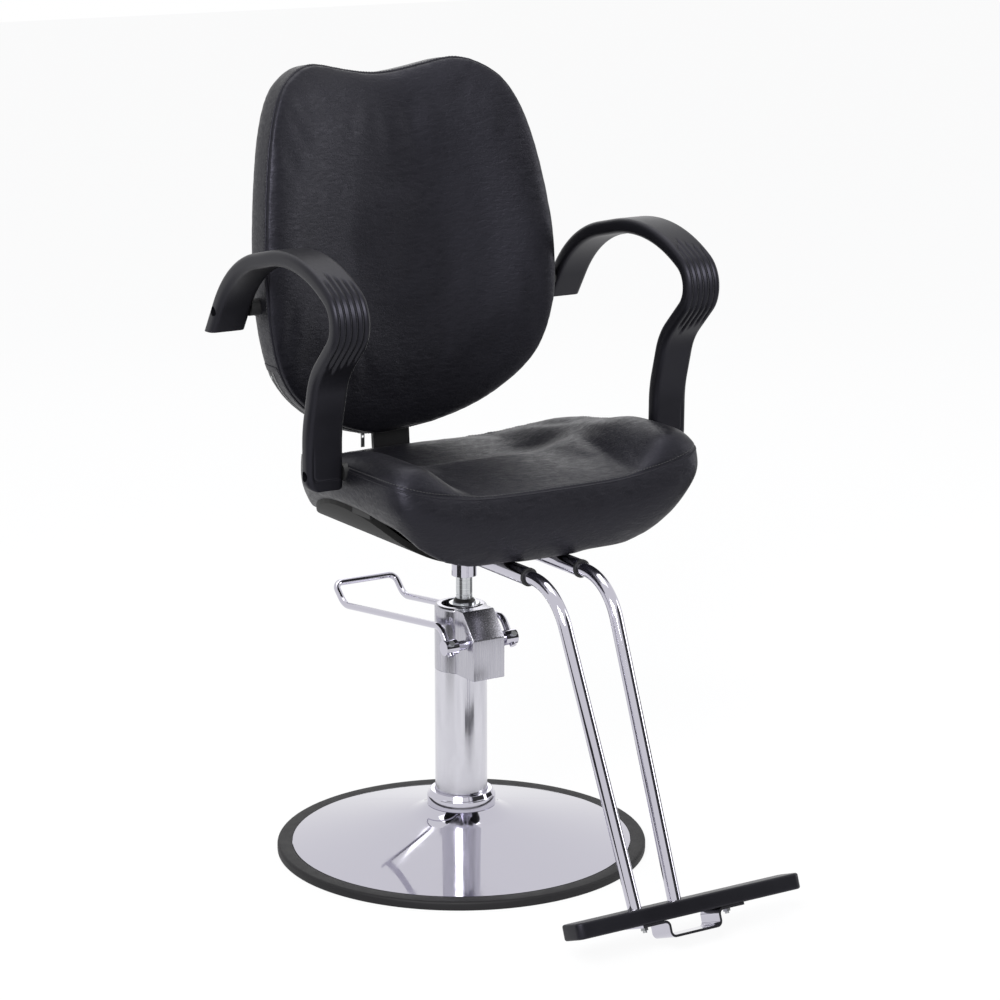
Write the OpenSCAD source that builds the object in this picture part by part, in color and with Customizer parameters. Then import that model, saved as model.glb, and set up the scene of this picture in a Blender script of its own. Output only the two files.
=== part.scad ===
// Hydraulic salon chair: round chrome base, hand pump, padded seat and back, hooked arms, bar footrest.
// Millimetres. +Z is up, the sitter faces -Y, and the origin is the centre of the base on the floor.

/* [Base] */
// Overall diameter of the base over its rubber rim
base_d = 540; // [440:5:680]
// Visible width of the rubber rim
rim_w = 22; // [12:1:40]
// Height of the rubber rim
rim_h = 13; // [9:0.5:22]
// Height of the dome's crown above the floor
dome_h = 68; // [45:1:110]
// Thickness of the spun chrome dome
dome_t = 2; // [1:0.1:4]
// Thickness of the weight plate under the dome
weight_t = 8; // [5:0.5:11]
// Diameter of the chrome collar round the column
collar_d = 100; // [90:1:130]
// Height of the collar above the dome
collar_h = 23; // [12:1:40]

/* [Pump] */
// Outside diameter of the pump column
column_d = 76; // [70:1:84]
// Wall of the pump column
column_wall = 3; // [2:0.5:5]
// Height of the pump head's underside above the floor
head_z = 273; // [230:1:330]
// Height of the pump head
head_h = 96; // [86:1:120]
// Width of the pump block on the front of the head
block_w = 53; // [50:1:60]
// Reach of the pump block in front of the column axis
block_reach = 77; // [72:1:84]
// Diameter of the piston rod
rod_d = 24; // [18:0.5:28]
// Sideways offset of the piston rod from the column axis
rod_offset = 6; // [0:0.5:10]
// Bore of the inner cylinder
cylinder_bore = 36; // [32:0.5:38]
// Full lift stroke of the piston
lift_stroke = 150; // [80:5:170]
// Bare rod between the pump head and the seat socket at the lowest height
rod_gap = 41; // [36:1:80]

/* [Pump lever] */
// Diameter of the lever rod
lever_d = 10; // [8:0.5:13]
// Spacing of the two lever arms, centre to centre
lever_w = 104; // [100:1:120]
// Reach of the lever's crossbar behind the column axis
lever_reach = 280; // [220:5:320]
// Height of the lever shaft above the head's underside
shaft_up = 49; // [44:1:52]
// Distance of the lever shaft in front of the column axis
shaft_out = 51; // [50:0.5:54]
// Diameter of the lever shaft
shaft_d = 14; // [10:0.5:16]
// Downward travel of the lever in degrees
lever_down = 28; // [10:1:30]

/* [Seat] */
// Width of the seat at its seam
seat_w = 500; // [440:5:560]
// Distance of the front seam ahead of the rod axis
seat_front = 245; // [220:5:290]
// Distance of the rear seam behind the rod axis
seat_rear = 195; // [180:5:200]
// Underside of the seat board above the floor
board_z = 482; // [475:1:600]
// Thickness of the seat board
board_t = 8; // [6:0.5:12]
// Inset of the seat board from the seat's seam on each side
board_inset = 22; // [16:1:30]
// Width of each upturned side of the board
board_side = 128; // [110:1:135]
// Radius of the board's upturned sides
board_bend_r = 157; // [150:1:220]
// Height of the sitting surface above the board
pan_h = 70; // [50:1:100]
// Extra height of the front roll
lip_h = 28; // [0:1:45]
// Extra height of the side bolsters
bolster_h = 52; // [0:1:60]
// Height of the front seam above the board
seam_h = 96; // [80:1:110]
// Further rise of the seam at the sides
seam_rise = 31; // [0:1:40]

/* [Back] */
// Inset of the back's seam from the seat's seam on each side
back_inset = 7; // [3:1:30]
// Height of the back from its bottom edge to the top of its lobes
back_h = 540; // [420:5:640]
// Distance of the back's seam behind the rod axis, at arm height
back_y = 210; // [208:1:222]
// Height of the bottom edge of the back above the floor
back_z = 590; // [585:5:680]
// Backward lean of the back in degrees
back_lean = 4.4; // [0:0.2:6]
// Radius of the back's sideways curve
back_curve_r = 410; // [360:5:700]
// Crown of the front pad over its seam
back_crown = 27; // [15:1:40]
// Depth of the boxing behind the seam
boxing_d = 52; // [46:1:70]
// Thickness of the back board
back_board_t = 10; // [8:0.5:12]

/* [Arms] */
// Width of an armrest
arm_w = 56; // [44:1:66]
// Thickness of an armrest
arm_t = 22; // [19:0.5:28]
// Rounding of the armrest's long edges
arm_round = 7; // [3:0.5:9]
// Space between the seat's seam and an armrest
arm_clear = 6; // [5:1:30]
// Height of the armrest's foot above the floor
arm_foot_z = 590; // [580:1:600]
// Width of the steel core in an armrest
core_w = 34; // [20:1:38]
// Thickness of the steel core in an armrest
core_t = 5; // [3:0.5:8]

/* [Footrest] */
// Outside diameter of the footrest tubes
tube_d = 19; // [16:0.5:24]
// Wall of the footrest tubes
tube_wall = 1.5; // [1:0.1:3]
// Spacing of the tubes under the seat
tube_spacing = 86; // [70:1:110]
// Spacing of the tubes where they meet the footplate
tube_foot_spacing = 64; // [50:1:86]
// Bend radius of the tubes
tube_bend_r = 85; // [60:5:100]
// Outside diameter of the sleeves that hold the tubes
sleeve_d = 25; // [23:0.5:32]
// Length of the sleeves
sleeve_l = 130; // [90:5:150]
// Length of the footplate
plate_w = 365; // [260:5:420]
// Depth of the footplate
plate_d = 48; // [40:1:70]
// Thickness of the footplate
plate_t = 22; // [18:0.5:30]
// Sideways offset of the footplate from the tubes
plate_offset = 44; // [-44:1:44]
// Forward and downward tilt of the footplate in degrees
plate_tilt = 21; // [10:1:28]
// Outside width of the strap under the footplate
strap_w = 85; // [70:1:100]
// Drop of the strap below the footplate
strap_h = 25; // [16:1:28]

/* [Hidden] */
$fn = 64;
over = 1;
seat_gap = 0.3;
slip = 0.05;
tube_slip = 0.25;
running_gap = 2;
lap = 0.1;
lap_scale = 0.998;
rod_scale = 0.99;

// vectors and curves
function unit(v) = v / norm(v);
function ease(t) = t <= 0 ? 0 : t >= 1 ? 1 : t * t * (3 - 2 * t);
function mix(a, b, t) = a + (b - a) * t;
function half_angle(a, b, c) = acos(min(1, max(-1, unit(a - b) * unit(c - b)))) / 2;
function tangent_l(a, b, c, r) = r / tan(half_angle(a, b, c));
// one smooth point of a closed loop of points p, between p[i] and the next
function smooth_pt(p, i, t) =
    let (n = len(p), a = p[(i + n - 1) % n], b = p[i], c = p[(i + 1) % n], d = p[(i + 2) % n])
    (2 * b + (c - a) * t + (2 * a - 5 * b + 4 * c - d) * t * t + (3 * b - a - 3 * c + d) * t * t * t) / 2;
function smooth_loop(p, steps) = [for (i = [0:len(p) - 1], k = [0:steps - 1]) smooth_pt(p, i, k / steps)];

// sweeps a flat section along points p with bend radii r; w is square to the bends and to the section's +X
module sweep(p, r, w = [1, 0, 0], thin = lap_scale) {
    z = unit(p[1] - p[0]);
    x = unit(cross(w, z));
    y = cross(z, x);
    multmatrix([[x[0], y[0], z[0], p[0][0]], [x[1], y[1], z[1], p[0][1]], [x[2], y[2], z[2], p[0][2]],
                [0, 0, 0, 1]])
        sweep_on(p, r, x, thin, 0) children();
}

module sweep_on(p, r, x, thin, i) {
    last = len(p) - 2;
    d = unit(p[i + 1] - p[i]);
    before = i == 0 ? 0 : tangent_l(p[i - 1], p[i], p[i + 1], r[i - 1]);
    after = i == last ? 0 : tangent_l(p[i], p[i + 1], p[i + 2], r[i]);
    run = norm(p[i + 1] - p[i]) - before - after;
    start = i == 0 ? 0 : lap;
    end = i == last ? 0 : lap;
    translate([0, 0, -start]) linear_extrude(run + start + end) scale(thin) children();
    if (i < last) {
        e = unit(p[i + 2] - p[i + 1]);
        side = unit(e - d * (e * d));
        turn = acos(e * d);
        translate([0, 0, run]) rotate(atan2(side * cross(d, x), side * x)) {
            translate([r[i], 0, 0]) rotate([90, 0, 180]) rotate_extrude(angle = turn)
                translate([r[i], 0]) children();
            translate([r[i], 0, 0]) rotate([0, turn, 0]) translate([-r[i], 0, 0])
                sweep_on(p, r, side * cos(turn) - d * sin(turn), thin, i + 1) children();
        }
    }
}

// a closed solid through rings of points that share one count, with a cap point at each end
module loft(rings, first, last) {
    n = len(rings[0]);
    m = len(rings);
    pts = concat([first], [for (ring = rings) each ring], [last]);
    fan_a = [for (i = [0:n - 1]) [0, 1 + i, 1 + (i + 1) % n]];
    skin = [for (k = [0:m - 2], i = [0:n - 1], h = [0, 1])
        let (a = 1 + k * n + i, b = 1 + k * n + (i + 1) % n)
        h == 0 ? [a, a + n, b] : [b, a + n, b + n]];
    fan_b = [for (i = [0:n - 1]) [len(pts) - 1, 1 + (m - 1) * n + (i + 1) % n, 1 + (m - 1) * n + i]];
    polyhedron(points = pts, faces = concat(fan_a, skin, fan_b));
}

module round_rect(w, d, r) {
    square([w - 2 * r, d], center = true);
    square([w, d - 2 * r], center = true);
    for (x = [-1, 1], y = [-1, 1])
        translate([x * (w / 2 - r), y * (d / 2 - r)]) circle(r);
}

module ring(outer, inner, h) {
    difference() {
        cylinder(r = outer, h = h);
        translate([0, 0, -over]) cylinder(r = inner, h = h + 2 * over);
    }
}

// bolt sizes: shank radius, head radius and head height, for the two sizes used
bolt_r = 4;
bolt_head_r = 7;
bolt_head_h = 5;
washer_t = 1.6;
washer_r = 9;

// a hexagon-head bolt with its washer, shank up, seated at z = 0
module bolt(l) {
    translate([0, 0, -washer_t]) cylinder(r = washer_r, h = washer_t);
    translate([0, 0, -washer_t - bolt_head_h]) cylinder(r = bolt_head_r, h = bolt_head_h, $fn = 6);
    translate([0, 0, -washer_t]) cylinder(r = bolt_r, h = l + washer_t);
}

// base
base_r = base_d / 2;
weight_r = base_r - rim_w - 2 * dome_t;
dome_edge_r = base_r - rim_w / 2;
dome_rim_r = base_r - rim_w;
hump_w = 30;
hump_h = 7;
hump_steps = 8;
flange_r = 80;
flange_t = 9;
screw_pitch_r = 60;
screw_short = 1;
csk_h = 4;
column_r = column_d / 2;
collar_bore_r = column_r + tube_slip;
dome_hole_r = mix(collar_bore_r, collar_d / 2, 0.6);
collar_z = dome_h - dome_t;
collar_lip_h = 6;
dome_foot_r = collar_d / 2;

// height of the dish at radius r: a low cone that sweeps up to the seat of the collar
function dish_z(r) =
    let (out = max(0, r - dome_foot_r))
    mix(collar_z - hump_h, rim_h, out / (dome_rim_r - tube_slip - dome_foot_r))
        + hump_h * pow(max(0, 1 - out / hump_w), 2);
dish_radii = concat([dome_hole_r], [for (k = [0:hump_steps]) dome_foot_r + hump_w * k / hump_steps], [dome_rim_r - tube_slip]);

module base_screw_places() {
    for (a = [45:90:359]) rotate(a) translate([screw_pitch_r, 0, 0]) children();
}

module base_underplate() {
    color("dimgray") difference() {
        cylinder(r = weight_r, h = weight_t, $fn = 128);
        base_screw_places() {
            translate([0, 0, -over]) cylinder(r = bolt_r + tube_slip, h = weight_t + 2 * over);
            cylinder(r1 = bolt_head_r + tube_slip, r2 = bolt_r + tube_slip, h = csk_h);
        }
    }
}

module base_rim() {
    tip = rim_h / 3;
    color([0.24, 0.23, 0.24]) difference() {
        rotate_extrude($fn = 128) difference() {
            translate([weight_r + seat_gap, 0]) union() {
                square([base_r - weight_r - seat_gap - tip, rim_h]);
                square([base_r - weight_r - seat_gap, rim_h - tip]);
                translate([base_r - weight_r - seat_gap - tip, rim_h - tip]) circle(tip);
            }
            translate([weight_r - over, weight_t])
                square([dome_edge_r + tube_slip - weight_r + over, rim_h - weight_t - dome_t]);
            translate([weight_r - over, rim_h - dome_t - over])
                square([dome_rim_r - weight_r + over, dome_t + 2 * over]);
        }
    }
}

module base_dome() {
    lip_z = weight_t + tube_slip;
    color("silver") {
        rotate_extrude($fn = 128) polygon(concat(
            [for (r = dish_radii) [r, dish_z(r)]],
            [for (k = [len(dish_radii) - 1:-1:0]) [dish_radii[k], dish_z(dish_radii[k]) - dome_t]]));
        translate([0, 0, lip_z])
            ring(dome_rim_r - tube_slip, dome_rim_r - tube_slip - dome_t, rim_h - lip_z);
        translate([0, 0, lip_z]) ring(dome_edge_r, dome_rim_r - tube_slip - dome_t, dome_t);
    }
}

module base_screws() {
    color("gray") base_screw_places() {
        cylinder(r1 = bolt_head_r, r2 = bolt_r, h = csk_h);
        cylinder(r = bolt_r, h = weight_t + flange_t - screw_short);
    }
}

module pump_flange() {
    color("dimgray") translate([0, 0, weight_t]) difference() {
        cylinder(r = flange_r, h = flange_t);
        base_screw_places()
            translate([0, 0, -over]) cylinder(r = bolt_r + tube_slip, h = flange_t + 2 * over);
    }
}

module base_collar() {
    outer_r = collar_d / 2;
    wall_h = collar_h - collar_lip_h;
    color("silver") translate([0, 0, collar_z]) difference() {
        union() {
            cylinder(r = outer_r, h = wall_h);
            translate([0, 0, wall_h])
                cylinder(r1 = outer_r, r2 = collar_bore_r + 2 * dome_t, h = collar_lip_h);
        }
        translate([0, 0, -over]) cylinder(r = collar_bore_r, h = collar_h + 2 * over);
    }
}

// pump
column_z = weight_t + flange_t;
head_top = head_z + head_h;
rod_r = rod_d / 2;
bore_r = cylinder_bore / 2;
cyl_wall = 4;
cyl_r = bore_r + cyl_wall;
gland_h = 22;
gland_flange = 5;
gland_collar_r = rod_r + gland_flange;
gland_collar_h = 3;
wiper_h = 4;
wiper_lip = 1;
plug_h = 10;
cyl_top = head_top - gland_h;
shaft_r = shaft_d / 2;
shaft_z = head_z + shaft_up;
boss_r = 11;
boss_l = 20;
boss_in = 4;
lever_r = lever_d / 2;
crank_l = 16;
chamber_w = 24;
cam_wall = 4;
cam_r = shaft_r + cam_wall;
chamber_front = shaft_out + cam_r + running_gap;
toe_r = 4;
chamber_back = shaft_out - crank_l - toe_r - running_gap;
chamber_drop = 30;
chamber_z = shaft_z - chamber_drop;
chamber_top = shaft_z + cam_r + running_gap;
block_front_h = 60;
block_slope = 29;
block_back = block_reach - block_slope;
plunger_r = 5;
plunger_y = -shaft_out + crank_l;
plunger_top = shaft_z - 2 * toe_r - seat_gap;
plunger_l = 26;
plunger_floor = plunger_top - plunger_l - crank_l * sin(lever_down) - running_gap;

module at_rod() {
    translate([rod_offset, 0, 0]) children();
}

module pump_column() {
    color("silver") translate([0, 0, column_z]) ring(column_r, column_r - column_wall, head_z - column_z);
}

// side view of the block: upright front, sloped polished top
module block_profile() {
    polygon([[0, 0], [block_reach, 0], [block_reach, block_front_h], [block_back, head_h], [0, head_h]]);
}

module pump_head() {
    color("lightgray") difference() {
        union() {
            translate([0, 0, head_z]) cylinder(r = column_r + slip, h = head_h);
            translate([block_w / 2, 0, head_z]) rotate([90, 0, -90])
                linear_extrude(block_w) block_profile();
        }
        at_rod() translate([0, 0, head_z - over]) cylinder(r = cyl_r + slip, h = head_h + 2 * over);
        // crank chamber, shaft bore and plunger bore
        translate([-chamber_w / 2, -chamber_front, chamber_z])
            cube([chamber_w, chamber_front - chamber_back, chamber_top - chamber_z]);
        translate([-block_w / 2 - over, -shaft_out, shaft_z]) rotate([0, 90, 0])
            cylinder(r = shaft_r + slip, h = block_w + 2 * over);
        translate([0, plunger_y, plunger_floor]) cylinder(r = plunger_r + slip, h = shaft_z - plunger_floor);
    }
}

module pump_cylinder() {
    color("gray") at_rod() translate([0, 0, column_z + plug_h])
        ring(cyl_r, bore_r, cyl_top - column_z - plug_h);
}

module cylinder_plug() {
    color("dimgray") at_rod() {
        translate([0, 0, column_z]) cylinder(r = cyl_r, h = plug_h);
        translate([0, 0, column_z]) cylinder(r = bore_r - slip, h = 2 * plug_h);
    }
}

module rod_gland() {
    color("gray") at_rod() difference() {
        union() {
            translate([0, 0, cyl_top]) cylinder(r = cyl_r, h = gland_h);
            translate([0, 0, head_top]) cylinder(r = gland_collar_r, h = gland_collar_h);
        }
        translate([0, 0, cyl_top - over])
            cylinder(r = rod_r + slip, h = gland_h + gland_collar_h + 2 * over);
    }
}

module rod_wiper() {
    color([0.15, 0.15, 0.15]) at_rod() translate([0, 0, head_top + gland_collar_h]) difference() {
        cylinder(r1 = gland_collar_r - wiper_lip, r2 = rod_r + wiper_lip, h = wiper_h);
        translate([0, 0, -over]) cylinder(r = rod_r + slip, h = wiper_h + 2 * over);
    }
}

// piston, rod and seat socket
piston_h = 25;
thrust_t = 3;
full_lift_gap = 60;
piston_z = cyl_top - full_lift_gap - lift_stroke - thrust_t - piston_h;
washer_z = piston_z + piston_h;
thrust_gap = 1;
spigot_r = rod_r / 2;
socket_z = head_top + rod_gap;
socket_wall = 6.25;
socket_r = rod_r + socket_wall;
mount_t = 5;
mount_w = 170;
mount_hole = 65;
mount_z = board_z - mount_t;
rod_top = mount_z - mount_t;
groove_w = 1.5;
groove_up = 13;
piston_ring_h = 4;

module piston_head() {
    color("gray") at_rod() translate([0, 0, piston_z]) difference() {
        cylinder(r = bore_r - slip, h = piston_h);
        translate([0, 0, thrust_t]) cylinder(r = spigot_r + slip, h = piston_h);
        translate([0, 0, piston_h / 2 - piston_ring_h / 2])
            ring(bore_r, bore_r - piston_ring_h, piston_ring_h);
    }
}

module piston_ring() {
    color([0.15, 0.15, 0.15]) at_rod() translate([0, 0, piston_z + piston_h / 2 - piston_ring_h / 2 + slip])
        ring(bore_r - slip / 2, bore_r - piston_ring_h + slip, piston_ring_h - 2 * slip);
}

module thrust_washer() {
    color("peru") at_rod() translate([0, 0, washer_z]) ring(bore_r - thrust_gap, spigot_r + slip, thrust_t);
}

module piston_rod() {
    color("silver") at_rod() difference() {
        union() {
            translate([0, 0, washer_z + thrust_t]) cylinder(r = rod_r, h = rod_top - washer_z - thrust_t);
            translate([0, 0, piston_z + 2 * thrust_t]) cylinder(r = spigot_r, h = piston_h);
        }
        translate([0, 0, head_top + groove_up]) ring(rod_r + over, rod_r - groove_w / 2, groove_w);
    }
}

module seat_socket() {
    color("lightgray") at_rod() difference() {
        translate([0, 0, socket_z]) cylinder(r = socket_r, h = mount_z - socket_z);
        translate([0, 0, socket_z - over]) cylinder(r = rod_r + slip, h = rod_top - socket_z + over);
    }
}

module mount_places() {
    for (x = [-1, 1], y = [-1, 1]) translate([x * mount_hole, y * mount_hole, 0]) children();
}

module seat_mount_plate() {
    color([0.1, 0.1, 0.1]) at_rod() translate([0, 0, mount_z]) difference() {
        linear_extrude(mount_t) round_rect(mount_w, mount_w, bolt_head_r);
        mount_places() translate([0, 0, -over]) cylinder(r = bolt_r + tube_slip, h = mount_t + 2 * over);
    }
}

module seat_plate_bolts() {
    color("gray") at_rod() mount_places() translate([0, 0, mount_z]) bolt(mount_t + board_t - seat_gap);
}

// seat board and cushion
board_w = seat_w - 2 * board_inset;
board_flat = board_w - 2 * board_side;
board_front_in = 60;
board_rear_in = 17;
board_front = seat_front - board_front_in;
board_rear = seat_rear - board_rear_in;
board_top = board_z + board_t;
pan_z = board_top + pan_h;
front_seam_z = board_top + seam_h;
rear_seam_up = 5;
rear_seam_z = pan_z + rear_seam_up;
rear_roll_h = 8;
seat_half = seat_w / 2;
lip_start = 30;
lip_run = 90;
bolster_w = 132;
bolster_start = seat_half - bolster_w;
bolster_run = 92;
roll_hang = 9;

// height of the board's surface over its flat middle
function board_rise(x) =
    let (u = max(0, abs(x) - board_flat / 2))
    board_bend_r - sqrt(pow(board_bend_r, 2) - pow(u, 2));
function seam_z(x, y) =
    mix(front_seam_z, rear_seam_z, pow(max(0, y + lip_start) / (seat_rear + lip_start), 2))
        + seam_rise * pow(abs(x) / seat_half, 3);
function pan_at(x, y) =
    let (lip = lip_h * ease((lip_start - y) / lip_run),
         behind = ease((y - lip_start) / (seat_rear - lip_start)),
         fall = 1 - 0.6 * behind)
    pan_z + lip + rear_roll_h * behind + bolster_h * fall * ease((abs(x) - bolster_start) / bolster_run);

// seam line of the seat from above, as shares of its half width and of its reach
seat_shares = [[0, -1], [0.42, -0.985], [0.76, -0.92], [0.95, -0.75], [1, -0.45], [1, -0.08],
               [0.928, 0.282], [0.78, 0.605], [0.54, 0.885], [0.28, 0.99]];
seat_rear_share = 1.005;
seat_line = smooth_loop([for (s = concat(seat_shares, [[0, seat_rear_share]],
    [for (i = [len(seat_shares) - 1:-1:1]) [-seat_shares[i][0], seat_shares[i][1]]]))
    [s[0] * seat_half, s[1] * (s[1] < 0 ? seat_front : seat_rear)]], 3);

function shrink(p, sx, front, rear) = [p[0] * sx, p[1] * (p[1] < 0 ? front : rear)];
function front_share(y) = ease(-y / seat_front);
// rings of the seat: width share, front share, rear share, then the height
seat_under = [for (p = seat_line) let (q = shrink(p, 0.7, 0.6, 0.75))
    [q[0], q[1], board_z + board_rise(q[0])]];
seat_hem = [for (p = seat_line) let (q = shrink(p, 0.93, 0.78, 0.955))
    [q[0], q[1], board_top + seat_gap + board_rise(q[0]) - (roll_hang * front_share(q[1]) > roll_hang / 2
        && abs(q[1]) > board_front ? roll_hang : 0)]];
function seat_wall(sx, front, rear, up) = [for (p = seat_line)
    let (q = shrink(p, sx, front, rear), low = board_top + board_rise(p[0] * 0.912))
    [q[0], q[1], mix(low, seam_z(p[0], p[1]), up)]];
function seat_top(s, lift) = [for (p = seat_line)
    let (q = p * s, z = pan_at(q[0], q[1]))
    [q[0], q[1], mix(seam_z(p[0], p[1]), z, lift)]];
seat_rings = concat([seat_under, seat_hem], [
    seat_wall(0.965, 0.9, 0.99, 0.12), seat_wall(1.004, 1.02, 1.02, 0.4), seat_wall(1.008, 1.04, 1.02, 0.7),
    seat_wall(1, 1, 1, 1), seat_top(0.975, 0.5), seat_top(0.93, 0.9), seat_top(0.86, 1),
    seat_top(0.74, 1), seat_top(0.6, 1), seat_top(0.42, 1), seat_top(0.2, 1)]);

insert_w = 60;
insert_t = 6;
insert_x = board_w / 2 - insert_t / 2;
insert_low = 66;
insert_high = 144;
foot_screw_up = 22;
foot_screw_z = arm_foot_z + foot_screw_up;
standoff_r = 12;

module board_section() {
    translate([-board_flat / 2, 0]) square([board_flat, board_t]);
    for (s = [0, 1]) mirror([s, 0]) translate([board_flat / 2, board_bend_r]) intersection() {
        difference() {
            circle(board_bend_r, $fn = 128);
            circle(board_bend_r - board_t, $fn = 128);
        }
        translate([0, -board_bend_r]) square([board_w / 2, board_bend_r - board_t]);
    }
}

// the board from above: the seam's outline drawn in
module board_outline(grow) {
    polygon([for (p = seat_line) shrink(p, (board_w + 2 * grow) / seat_w, (board_front + grow) / seat_front,
                                        (board_rear + grow) / seat_rear)]);
}

// everything below the board's top face, inside its outline
module seat_board_space() {
    reach = seat_rear + seat_front;
    translate([0, 0, board_z]) intersection() {
        translate([0, seat_rear, 0]) rotate([90, 0, 0])
            linear_extrude(reach) difference() {
            translate([-board_w, -board_bend_r]) square([2 * board_w, 2 * board_bend_r]);
            translate([-board_flat / 2, board_t + seat_gap]) square([board_flat, board_bend_r]);
            for (s = [-1, 1]) translate([s * board_flat / 2, board_bend_r])
                circle(board_bend_r - board_t - seat_gap, $fn = 128);
        }
        translate([0, 0, -board_bend_r]) linear_extrude(2 * board_bend_r) board_outline(2 * seat_gap);
    }
}

module seat_board() {
    color([0.12, 0.12, 0.12]) at_rod() translate([0, 0, board_z]) difference() {
        intersection() {
            translate([0, seat_rear, 0]) rotate([90, 0, 0])
                linear_extrude(seat_rear + seat_front) board_section();
            translate([0, 0, -over]) linear_extrude(board_bend_r) board_outline(0);
        }
        mount_places() translate([0, 0, -over]) cylinder(r = bolt_r + tube_slip, h = board_t + 2 * over);
        bracket_places() translate([0, 0, -over]) cylinder(r = bolt_r + tube_slip, h = board_t + 2 * over);
        footrest_places() translate([0, 0, -over]) cylinder(r = bolt_r + tube_slip, h = board_t + 2 * over);
        translate([0, 0, -board_z]) seat_insert_pockets();
    }
}

module seat_insert(grow) {
    translate([insert_x - insert_t / 2 - grow, insert_y - insert_w / 2 - grow, board_z + insert_low - grow])
        cube([insert_t + 2 * grow, insert_w + 2 * grow, insert_high - insert_low + 2 * grow]);
    translate([insert_x, insert_y, foot_screw_z]) rotate([0, 90, 0])
        cylinder(r = standoff_r + grow, h = arm_gap / 2 - insert_x - seat_gap + grow);
}

module seat_insert_pockets() {
    for (s = [0, 1]) mirror([s, 0, 0]) seat_insert(seat_gap);
}

module seat_inserts() {
    color([0.1, 0.1, 0.1]) at_rod() for (s = [0, 1]) mirror([s, 0, 0]) difference() {
        seat_insert(0);
        arm_screw_hole(insert_y, foot_screw_z, bolt_r + slip);
    }
}

module seat_cushion() {
    color([0.13, 0.13, 0.14]) at_rod() difference() {
        loft(seat_rings, [0, 0, board_z], [0, 0, pan_at(0, 0)]);
        seat_board_space();
        seat_insert_pockets();
    }
}

// back, in its own leaning frame: x across, y behind the seam surface, z up from arm height
arm_line_z = 800;
back_w = seat_w - 2 * back_inset;
back_low = back_z - arm_line_z;
// right half of the back's outline, as shares of its half width and of its height
back_shares = [[0, 0], [0.28, 0.009], [0.6, 0.063], [0.86, 0.165], [0.975, 0.3], [1, 0.46], [0.965, 0.64],
               [0.885, 0.82], [0.775, 0.93], [0.62, 0.985], [0.46, 1], [0.22, 0.98]];
back_top_share = 0.968;
back_line = smooth_loop([for (s = concat(back_shares, [[0, back_top_share]],
    [for (i = [len(back_shares) - 1:-1:1]) [-back_shares[i][0], back_shares[i][1]]]))
    [s[0] * back_w / 2, back_low + s[1] * back_h]], 2);
back_mid = back_low + back_h / 2;
back_board_at = 3;
bar_w = 62;
bar_t = 6;

function back_bend(x) = back_curve_r - sqrt(pow(back_curve_r, 2) - pow(x, 2));
function back_pt(x, z, y) = [x, y - back_bend(x), z];
function back_ring(s, y) = [for (p = back_line) back_pt(p[0] * s, back_mid + (p[1] - back_mid) * s, y)];

module in_back() {
    at_rod() translate([0, back_y, arm_line_z]) rotate([-back_lean, 0, 0]) children();
}

module back_cushion() {
    rings = [back_ring(0.4, back_board_at + back_board_t), back_ring(0.9, back_board_at + back_board_t),
             back_ring(0.98, back_board_at + back_board_t), back_ring(1, 0),
             back_ring(0.985, -0.28 * back_crown), back_ring(0.95, -0.62 * back_crown),
             back_ring(0.89, -0.88 * back_crown), back_ring(0.8, -back_crown),
             back_ring(0.6, -back_crown), back_ring(0.35, -0.98 * back_crown)];
    color([0.13, 0.13, 0.14]) difference() {
        in_back() difference() {
            loft(rings, back_pt(0, back_mid, back_board_at + back_board_t),
                 back_pt(0, back_mid, -0.96 * back_crown));
            curved_shell(back_board_at - seat_gap, boxing_d);
        }
        back_insert_pockets();
    }
}

// a plate of thickness t that follows the sideways curve, at depth y behind the seam surface
module curved_plate(y, t, s) {
    intersection() {
        translate([0, y - over, 0]) rotate([90, 0, 0]) translate([0, 0, -t - boxing_d])
            linear_extrude(t + boxing_d + back_w / 2)
                polygon([for (p = back_line) [p[0] * s, back_mid + (p[1] - back_mid) * s]]);
        curved_shell(y, t);
    }
}

module curved_shell(y, t) {
    difference() {
        translate([0, y + t - back_curve_r, back_low - back_h])
            cylinder(r = back_curve_r, h = 3 * back_h, $fn = 256);
        translate([0, y - back_curve_r, back_low - back_h - over])
            cylinder(r = back_curve_r, h = 3 * back_h + 2 * over, $fn = 256);
    }
}

board_share = 0.955;

module back_board() {
    color("burlywood") difference() {
        in_back() difference() {
            curved_plate(back_board_at, back_board_t, board_share);
            back_bolt_places() rotate([90, 0, 0])
                cylinder(r = bolt_r + tube_slip, h = 3 * back_board_t, center = true);
        }
        back_insert_pockets();
    }
}

module back_cover() {
    y0 = back_board_at;
    rings = [back_ring(0.4, 0), back_ring(0.9, 0), back_ring(1, 0), back_ring(1.004, 0.3 * boxing_d),
             back_ring(1.004, 0.7 * boxing_d), back_ring(0.99, 0.9 * boxing_d), back_ring(0.95, boxing_d),
             back_ring(0.8, boxing_d), back_ring(0.4, boxing_d)];
    color([0.13, 0.13, 0.14]) difference() {
        in_back() difference() {
            loft(rings, back_pt(0, back_mid, y0), back_pt(0, back_mid, boxing_d));
            curved_shell(y0 - boxing_d, boxing_d);
            curved_plate(y0 - over, back_board_t + over + seat_gap, board_share + 4 * seat_gap / back_w);
            translate([-bar_w / 2 - seat_gap, 0, back_low - bar_w])
                cube([bar_w + 2 * seat_gap, back_board_at + back_board_t + bar_t + bolt_head_h + 2 * washer_t,
                      bar_up + bar_w + seat_gap]);
        }
        back_insert_pockets();
    }
}

// inserts that take the rear arm screws, sunk in the back board's edges
rear_insert_w = 30;
rear_insert_in = 25;
rear_insert_l = 22;
rear_insert_x = back_w / 2 - rear_insert_in;

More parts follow.
